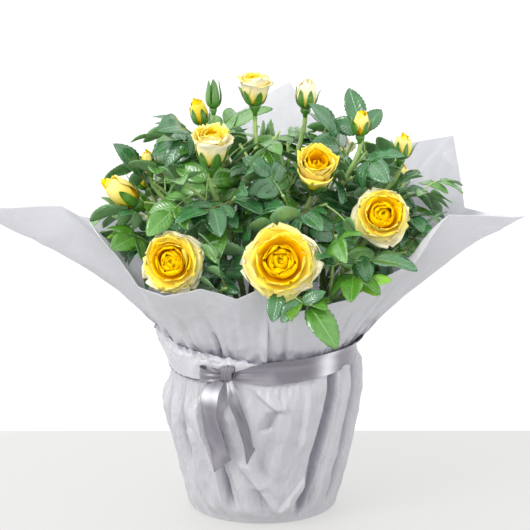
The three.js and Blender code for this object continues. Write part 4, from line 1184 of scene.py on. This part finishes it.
def compoundLeaf(root, aim, seed, pairs, size):  # one leaflet at the end of the stalk and pairs below it
    long = leaf["stalk"] * (0.85 + 0.3 * dice(seed, 1)) * size
    droop = 0.05 + 0.4 * dice(seed, 2)

    def bent(t):
        return root + aim * long * t - upward * droop * long * t * t

    start, middle, end = bent(0), bent(0.5), bent(1)

    def stalkAt(t):
        return start.lerp(middle, t * 2) if t < 0.5 else middle.lerp(end, t * 2 - 1)

    tilt = (dice(seed, 3) - 0.5) * 1.7
    leaflets = []
    places = [(0.96, 0, 1)]
    for t, angle, share in leaf["pairs"][:pairs]:
        places += [(t, math.radians(angle), share), (t, -math.radians(angle), share)]
    for t, turn, share in places:
        way = (aim - upward * 2 * droop * t).normalized()
        across = way.cross(upward).normalized()
        normal = (Matrix.Rotation(tilt, 3, way) @ across.cross(way)).normalized()
        aimed = Matrix.Rotation(turn, 3, normal) @ way
        reach = leaf["leaflet"] * size * share * (0.85 + 0.3 * dice(seed, 4 + len(leaflets)))
        sag = upward * (0.1 - 0.5 * dice(seed, 9 + len(leaflets)))
        base = stalkAt(t)
        tip = base + (aimed + sag).normalized() * reach
        leaflets.append({"base": base, "tip": tip, "normal": normal, "long": reach, "share": share})
    return [start, middle, end], leaflets


def leafAt(shoot, s, k, room, skeletons):  # tries turns round the shoot and keeps the fullest leaf
    curve, seed = shoot["curve"], shoot["seed"]
    root, along = curve.at(s / curve.length), curve.way(s / curve.length)
    size = shoot["size"] * (0.8 + 0.2 * min(1, k / 2))
    best = {"leaflets": []}
    for attempt in range(leaf["tries"]):
        turn = math.radians(leaf["golden"] * k + 360 * dice(seed, 5) + leaf["retry"] * attempt)
        side = squareTo(along, Vector((math.cos(turn), math.sin(turn), 0)))
        outward = Vector((root.x, root.y, 0)) * leaf["outward"]
        lift = upward * (0.8 * dice(seed, k, attempt) - 0.12)
        aim = (side + outward + lift).normalized()
        pairs = 2 if dice(seed, k, 8) < 0.6 else 1
        stalk, leaflets = compoundLeaf(root, aim, seed * 31 + k * 7 + attempt, pairs, size)
        if not all(isFree(p, shoot["name"], skeletons) for p in stalk[1:]):
            continue
        if room.touches(*prism(stalk, 0.9), shoot["id"]):
            continue
        kept = []
        for leaflet in leaflets:
            corners = kite(leaflet)
            if all(isFree(Vector(corners[i]), shoot["name"], skeletons) for i in (1, 2, 3)):
                if not room.touches(corners, kiteFaces, None):
                    kept.append(leaflet)
        if len(kept) > len(best["leaflets"]):
            best = {"stalk": stalk, "leaflets": kept}
        if len(kept) == len(leaflets):
            break
    return best


# Sprays with a place of their own: their stalk, then each leaflet's foot and tip, and its tint.
sprays = {
    "hanging": {
        "stalk": [(14.9, -84, 176), (16.5, -95, 182.5), (31, -105, 175.6)],
        "leaflets": [
            ((31, -105, 175.6), (49.5, -128, 158.2)), ((24.6, -101, 178.8), (12.6, -112, 168.9)),
            ((11, -96, 182.5), (7.2, -110, 168.5)), ((27, -103, 177.3), (40, -106, 188)),
        ],
        "kinds": [1, 0, 0, 0],
    },
    "young": {
        "stalk": [(50, -60, 170), (60, -70, 180), (72, -78, 186)],
        "leaflets": [
            ((72, -78, 186), (86, -82, 190)), ((66, -75, 183.5), (77, -86, 181)),
            ((65, -74, 183), (64, -84, 191)),
        ],
        "kinds": [2, 2, 2],
    },
}
sprayFacing = Vector((0.1, -0.75, 0.65))


def addStalk(heap, points, kind):
    spots = Curve(points, 20).spots(9)
    heap.tube(spots, np.linspace(wood["stalkFoot"], wood["stalkTip"], len(spots)), 6, kind)


def addSpray(spray, heap, twigHeap, shapes, room):
    addStalk(twigHeap, spray["stalk"], 0)
    for shape, kind, (base, tip) in zip(shapes, spray["kinds"], spray["leaflets"]):
        base, tip = Vector(base), Vector(tip)
        leaflet = {"base": base, "tip": tip, "normal": sprayFacing, "long": (tip - base).length, "share": 1}
        addLeaflet(heap, shape, leaflet, kind, room)


def leafShapes():  # some leaflets of length 1 along +Y, each modelled once
    shapes = []
    rows, cols = leaf["rows"], leaf["cols"]
    for k in range(5):
        t = np.linspace(0, 1, rows)[:, None] ** 0.9
        across = np.linspace(-1, 1, cols)[None, :]
        outline = (t**0.55 * (1 - t) ** 0.72) / 0.4165
        tooth = 1 + leaf["teeth"] * np.where(np.arange(rows)[:, None] % 2 == 0, -1, 1) * np.abs(across) ** 3
        half = leaf["breadth"] / 2 * outline * tooth * (0.92 + 0.16 * dice(k, 71))
        x = across * half
        arch = 0.25 + 0.5 * dice(k, 72)
        y = np.broadcast_to(np.sin(arch * t) / arch, x.shape)
        drop = -(1 - np.cos(arch * t)) / arch
        fold = (0.12 + 0.3 * dice(k, 73)) * np.abs(x)
        wave = 0.02 * np.sin(t * (7 + 3 * dice(k, 74)) + across * 1.5 + k) * np.abs(across) ** 2
        twist = 0.25 * (dice(k, 75) - 0.5) * t * across * half * 2
        shapes.append(np.stack([x, y, drop + fold + wave + twist], -1))
    return shapes


def addLeaflet(heap, shape, leaflet, kind, room):
    along = leaflet["tip"] - leaflet["base"]
    way = along.normalized()
    side = way.cross(leaflet["normal"]).normalized()
    top = side.cross(way).normalized()
    turn = np.array([list(side), list(way), list(top)])
    grid = shape * leaflet["long"] @ turn + np.array(leaflet["base"])
    thick = leaf["thick"] * blend(0.5, 1, leaflet["share"])
    heap.leaf(grid, thick, kind, leaf["under"], np.zeros(grid.shape[:2]))
    room.take(kite(leaflet, 0.5, 1.0), kiteFaces, None)


scar = {"apart": 13, "first": 6, "long": 1.6, "swell": 0.16}
thorn = {"short": 2.0, "more": 1.2}


def addThorn(heap, root, out, long, kind):
    tip = root + out * long - upward * long * 0.45
    spots = [root - out * 0.4, root + out * long * 0.35, root + out * long * 0.75 - upward * long * 0.16, tip]
    heap.tube([list(p) for p in spots], [long * 0.36, long * 0.24, long * 0.11, 0.04], 5, kind)


def addLimb(heap, curve, foot, tip, sides, kind, seed, rough, thorns):
    count = max(6, int(curve.length / 2.2))
    spots = curve.spots(count)
    run = np.linspace(0, curve.length, count)
    radii = blend(foot, tip, run / curve.length)
    for k in range(int(curve.length / scar["apart"]) + 1):  # each leaf scar is a slight swelling
        spot = scar["first"] + scar["apart"] * (k + 0.3 * dice(seed, k, 3))
        radii = radii + scar["swell"] * foot * np.exp(-(((run - spot) / scar["long"]) ** 2))
    uneven = [[dice(seed + i, j // 2, 7) - 0.5 for i in range(sides)] for j in range(count)]
    wobble = 1 + rough * np.array(uneven) * 2
    heap.tube(spots, radii, sides, kind, wobble)
    for k in range(thorns):
        share = (k + 0.3 + 0.5 * dice(seed, k, 11)) / thorns
        turn = 2.4 * k + seed
        side = squareTo(curve.way(share), Vector((math.cos(turn), math.sin(turn), 0)))
        root = curve.at(share) + side * blend(foot, tip, share) * 0.9
        addThorn(heap, root, side, thorn["short"] + thorn["more"] * dice(seed, k, 12), kind)


# Rings of petals from the heart outwards. Lengths are shares of the bloom's width, and a petal's four angles
# are measured from the bloom's axis, from its foot to its rim.
ringParts = ("count", "long", "angles", "half", "foot", "ruffle", "kind")
petalRings = {
    "open": [
        (3, 0.29, (28, 0, -34, -80), 0.11, 0.01, 0.006, 0),
        (3, 0.34, (48, 14, -28, -64), 0.18, 0.03, 0.014, 0),
        (4, 0.38, (64, 28, -20, -56), 0.23, 0.04, 0.018, 0),
        (4, 0.415, (74, 40, -6, -44), 0.29, 0.045, 0.024, 0),
        (4, 0.43, (78, 46, 5, -24), 0.31, 0.05, 0.028, 0),
        (5, 0.445, (80, 56, 24, 10), 0.33, 0.05, 0.034, 1),
        (5, 0.455, (80, 62, 42, 44), 0.37, 0.05, 0.038, 2),
        (5, 0.45, (82, 74, 68, 84), 0.42, 0.05, 0.045, 3),
        (4, 0.465, (84, 82, 84, 98), 0.45, 0.05, 0.05, 4),
    ],
    "half": [
        (3, 0.86, (20, 4, -12, -30), 0.22, 0.05, 0.02, 0),
        (3, 0.93, (34, 12, -4, -10), 0.36, 0.09, 0.03, 1),
        (4, 0.96, (48, 18, 2, 14), 0.42, 0.12, 0.04, 2),
        (3, 0.98, (58, 18, 0, 30), 0.52, 0.14, 0.05, 3),
        (3, 0.92, (64, 20, 2, 62), 0.52, 0.15, 0.05, 4),
    ],
    "bud": [
        (2, 1.5, (34, 6, -8, -26), 0.36, 0.12, 0.02, 0),
        (3, 1.46, (54, 12, -12, -32), 0.52, 0.16, 0.03, 1),
        (3, 1.34, (66, 16, -12, -24), 0.6, 0.2, 0.035, 2),
    ],
}
sepals = {
    "open": {"long": 0.44, "angles": (84, 110, 130, 140), "half": 0.07, "foot": 0.06},
    "half": {"long": 0.62, "angles": (66, 20, 8, 26), "half": 0.14, "foot": 0.16},
    "bud": {"long": 1.1, "angles": (68, 18, -6, 10), "half": 0.2, "foot": 0.22},
}
petalSheet = {"rows": 16, "cols": 15, "thick": 0.3}
sepalSheet = {"rows": 13, "cols": 7, "thick": 0.35, "face": 5, "back": 6}


def petalGrid(ring, turn, seed, rows, cols, pointed=False):  # a petal as points, and how near the rim each is
    s = (np.linspace(0, 1, rows) ** 0.85)[:, None]
    w = np.linspace(-1, 1, cols)[None, :]
    angle = np.radians(np.interp(s[:, 0], (0, 0.33, 0.7, 1), ring["angles"]))
    steps = np.diff(s[:, 0], prepend=0)
    long = ring["long"] * (0.95 + 0.12 * dice(seed, 1))
    radius = ring["foot"] + long * np.cumsum(np.sin(angle) * steps)[:, None]
    height = long * np.cumsum(np.cos(angle) * steps)[:, None]
    if pointed:
        outline = (1 - s) ** 0.8 * (0.6 + 1.3 * s) + 0.015
    else:
        blade = np.clip(1 - (np.clip(s - 0.74, 0, 1) / 0.263) ** 2.4, 0, 1) ** 0.5
        outline = (0.2 + 0.8 * ease(s, 0, 0.72)) * np.where(s > 0.74, blade, 1)
    half = ring["half"] * outline * (0.92 + 0.16 * dice(seed, 2))
    bend = np.maximum(np.maximum(radius, 0.02), half / 2.5)
    phi = w * half / bend
    x = radius - bend + bend * np.cos(phi)
    y = bend * np.sin(phi)
    ruffle = ring.get("ruffle", 0) * s**3
    beat = 3.6 + 2.4 * dice(seed, 3)
    x = x + ruffle * np.sin(w * beat + 6.28 * dice(seed, 4)) * 0.6
    z = height + ruffle * np.cos(w * beat * 1.2 + 6.28 * dice(seed, 5)) * 0.9
    spin = math.radians(turn)
    rim = np.clip(s + 0.14 * np.abs(w) ** 2, 0, 1) ** 1.4
    turned = x * math.cos(spin) - y * math.sin(spin), x * math.sin(spin) + y * math.cos(spin)
    return np.stack([*turned, z], -1), rim


# How cream a bloom is: below 0 it is golden, above 0 fewer outer petals stay yellow, and at 2 none does.
bloomTints = {
    "big": 0, "leftOpen": 0.1, "rightOpen": 1, "upperLeft": 0.2, "top": 0.2, "middle": -1, "yellowBud": -1,
    "creamBud": 2, "tiltedBud": 1,
}


def petalKind(key, kind, seed):
    tint = bloomTints.get(key, 0)
    if kind == 4 and dice(seed, 61) > 0.5 + tint * 0.35:
        kind = 3
    if tint > 1.5:
        return 4
    return kind - 1 if tint < 0 and kind in (1, 2, 3) else kind


def addBloom(heap, key, number):
    bloom = blooms[key]
    form, wide = forms[bloom["stage"]], bloom["wide"]
    turn = bloomTurn(bloom)
    foot = -form["back"] + form["lift"]
    centre = np.array(bloom["at"])

    def place(grid):
        return (grid * wide + [0, 0, foot * wide]) @ turn.T + centre

    def onAxis(t):
        return np.array([0, 0, (foot + t) * wide]) @ turn.T + centre

    angle = 360 * dice(number, 31)
    closed = key in ("greenBud", "rearBud")
    for r, row in enumerate([] if closed else petalRings[bloom["stage"]]):
        ring = dict(zip(ringParts, row))
        for k in range(ring["count"]):
            seed = number * 97 + r * 13 + k
            angle += 360 / ring["count"] + (dice(seed, 6) - 0.5) * 16
            swing = (dice(seed, 7) - 0.5) * 10
            flick = (dice(seed, 8) - 0.5) * (30 if r > 2 else 12)
            *lower, last = [value + swing for value in row[2]]
            tilted = dict(ring, angles=(*lower, last + flick))
            grid, rim = petalGrid(tilted, angle, seed, petalSheet["rows"], petalSheet["cols"])
            kind = petalKind(key, ring["kind"], seed)
            heap.leaf(place(grid), petalSheet["thick"], min(kind + 1, 4), kind, rim)
        angle += 137.5 / 3
    cut = sepals[bloom["stage"]]
    for k in range(5):
        seed = number * 89 + k
        flare = (dice(seed, 9) - 0.25) * 40
        first, second, third, last = cut["angles"]
        ring = dict(cut, angles=(first, second + flare * 0.2, third + flare * 0.6, last + flare))
        if closed:
            ring = dict(cut, long=2.3, angles=(60, 6, -12, -4), half=cut["half"] * 1.8)
        spin = 72 * k + 20 * dice(seed, 10)
        grid, rim = petalGrid(ring, spin, seed, sepalSheet["rows"], sepalSheet["cols"], pointed=True)
        grid = grid * [form["outside"], form["outside"], 1] - [0, 0, 0.02]
        heap.leaf(place(grid), sepalSheet["thick"], sepalSheet["face"], sepalSheet["back"], rim)
    neck, hip, brim = form["hip"]
    middles = [onAxis(t * hip) for t in (-1.9, -1.4, -0.9, -0.4, 0.05, 0.25)]
    swell = np.array([1.5, hip / neck, brim / neck, 0.3]) * neck * wide
    heap.tube(middles, [wood["stemTip"], wood["stemTip"] * 1.15, *swell], 12, sepalSheet["face"])
    if closed:
        core = [onAxis(t) for t in (0, 0.4, 0.9, 1.5, 2)]
        heap.tube(core, np.array([0.3, 0.42, 0.36, 0.16, 0.03]) * wide, 10, sepalSheet["face"])


def keepView(stalk, room):  # nothing hangs before a bloom's own stalk
    before = stalk + [0, -44, 9]
    count = len(stalk)
    faces = [(k, k + 1, count + k + 1, count + k) for k in range(count - 1)]
    room.take(np.concatenate([stalk, before]), faces, "view")


def growWood(boughs, stems, heaps, room):  # canes, boughs and stems, each taking its room before any leaf
    for k, (angle, tip) in enumerate(canes):
        curve = Curve(canePath(angle, tip))
        addLimb(heaps["wood"], curve, wood["caneFoot"], wood["caneTip"], 12, 1, 40 + k, 0.07, 5)
        room.take(*prism(curve.spots(7), wood["caneFoot"]), "cane")
    for k, path in enumerate(boughs.values()):
        curve = Curve(path)
        thorns = 3 + int(curve.length / 20)
        addLimb(heaps["boughs"], curve, wood["boughFoot"], wood["boughTip"], 10, 0, 60 + k, 0.05, thorns)
        room.take(*prism(curve.spots(6), wood["boughFoot"]), "bough")
    shoots = []
    for number, name in enumerate(masses):
        for k, stem in enumerate(stems[name]):
            seed = number * 10 + k + 1
            stem.update(name=name, seed=seed, id=seed, size=0.88 + 0.26 * dice(seed, 21))
            addLimb(heaps["twigs"], stem["curve"], *stem["sizes"], 8, 0, seed, 0.04, 2)
            room.take(*prism(stem["curve"].spots(5), stem["sizes"][0]), seed)
            if stem["bloom"]:
                room.take(*bloomBlock(blooms[stem["bloom"]]), "bloom")
                keepView(stem["curve"].spots(30)[18:], room)
            shoots.append(stem)
    print("limbs grown:", len(shoots), "stems")
    return shoots


def growLeaves(shoots, skeletons, heaps, room):  # from the tips down, one leaf on each shoot in turn
    shapes = leafShapes()
    count = 0
    for spray in sprays.values():
        addSpray(spray, heaps["front"], heaps["twigs"], shapes, room)
    for k in range(leaf["most"]):
        for shoot in shoots:
            s = shoot["curve"].length - shoot["bare"] - leaf["first"] - k * leaf["spacing"]
            made = leafAt(shoot, s, k, room, skeletons) if s >= leaf["lowest"] else {"leaflets": []}
            if len(made["leaflets"]) < 2:
                continue
            tone = dice(shoot["seed"], k, 33)
            tint = 2 if tone > 0.93 and k < 2 else (1 if tone > 0.5 else 0)
            addStalk(heaps["twigs"], made["stalk"], 1 if tone < 0.35 else 0)
            room.take(*prism(made["stalk"], 0.6), shoot["id"])
            for i, leaflet in enumerate(made["leaflets"]):
                shape = shapes[int(dice(shoot["seed"], k, 40 + i) * len(shapes))]
                addLeaflet(heaps[sideOf(shoot["name"])], shape, leaflet, tint, room)
                count += 1
    print("leaflets grown:", count)


def sideOf(name):  # the piece that holds a mass's leaves
    rear = "rear" in name or name in ("left_high", "top_left", "top_right", "right_tip")
    return "rear" if rear else "front"


def bloomBlock(bloom):  # a coarse solid of the bloom, for telling what touches it
    profile = forms[bloom["stage"]]["block"]
    sides = 8
    points, faces = [], []
    for radius, z in profile:
        for i in range(sides):
            t = 2 * math.pi * i / sides
            points.append([radius * math.cos(t), radius * math.sin(t), z])
    for j in range(len(profile) - 1):
        for i in range(sides):
            a, b = j * sides + i, j * sides + (i + 1) % sides
            faces.append((a, b, b + sides, a + sides))
    return np.array(points) * bloom["wide"] @ bloomTurn(bloom).T + np.array(bloom["at"]), faces


stockOutline = [  # the short foot of the bush: radius and height over the compost
    (14, 0), (12.6, 1.2), (10.6, 2.5), (9, 4.8), (8.8, 8), (9, 12.4), (8.2, 14), (6.6, 15), (3.5, 15.8),
]


def addStock(heap):
    foot = soil["top"] + wood["gap"]
    radii, heights = np.array(stockOutline).T
    sides = 28
    turns = np.linspace(0, 2 * math.pi, sides, endpoint=False)
    ribs = 1 + 0.05 * np.sin(turns * 7)[None, :] + 0.04 * np.sin(turns * 12 + heights[:, None])
    heap.tube([(0, 0, foot + h) for h in heights], radii, sides, 0, ribs)


def makeBush():
    boughs = boughPaths()
    stems = {name: stemsOf(name, boughs[name]) for name in masses}
    skeletons = {name: np.concatenate([stem["curve"].spots(7) for stem in stems[name]]) for name in masses}
    heaps = {name: Heap() for name in ("wood", "boughs", "twigs", "front", "rear")}
    room = Room()
    growLeaves(growWood(boughs, stems, heaps, room), skeletons, heaps, room)
    addStock(heaps["wood"])
    barks = {name: stemMaterial(name) for name in stemLooks}
    leaves = [leafMaterial(name) for name in leafLooks]
    petals = [petalMaterial(name) for name in petalLooks] + [leaves[1], leaves[3]]
    woodNodes = ["stem_foot"] + [f"cane_{k + 1}" for k in range(len(canes))]
    boughNodes = [f"bough_{name}" for name in masses]
    heaps["wood"].build("rose_wood", [barks["bark_foot"], barks["bark_green"]], "rose_bark", *woodNodes)
    heaps["boughs"].build("rose_boughs", [barks["bark_green"]], "green_stem", *boughNodes)
    heaps["twigs"].build("rose_twigs", [barks["stem_green"], barks["stem_red"]], "green_stem")
    for side in ("front", "rear"):
        nodes = [f"foliage_{name}" for name in masses if sideOf(name) == side]
        heaps[side].build(f"rose_leaves_{side}", leaves, "rose_leaf", *nodes)
    flowers = {"big": ["big"], "left": ["leftOpen"], "right": ["rightOpen"], "rear": ["rearOpen"]}
    flowers["half_open"] = [key for key in blooms if blooms[key]["stage"] == "half"]
    flowers["buds"] = [key for key in blooms if blooms[key]["stage"] == "bud"]
    for name, keys in flowers.items():
        heap = Heap()
        for key in keys:
            addBloom(heap, key, list(blooms).index(key) + 1)
        heap.build(f"blossom_{name}", petals, "rose_petal")


makeCamera()
makeLights()
makeFloor()
wrapPaper, satin = paperMaterial(), ribbonMaterial()
makeSkirt(wrapPaper)
makeCollar(wrapPaper)
makeCuff(wrapPaper)
makeRibbon(satin)
makeSoil()
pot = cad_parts["pot"]
pot.data.materials.clear()
pot.data.materials.append(potMaterial())
makeBush()
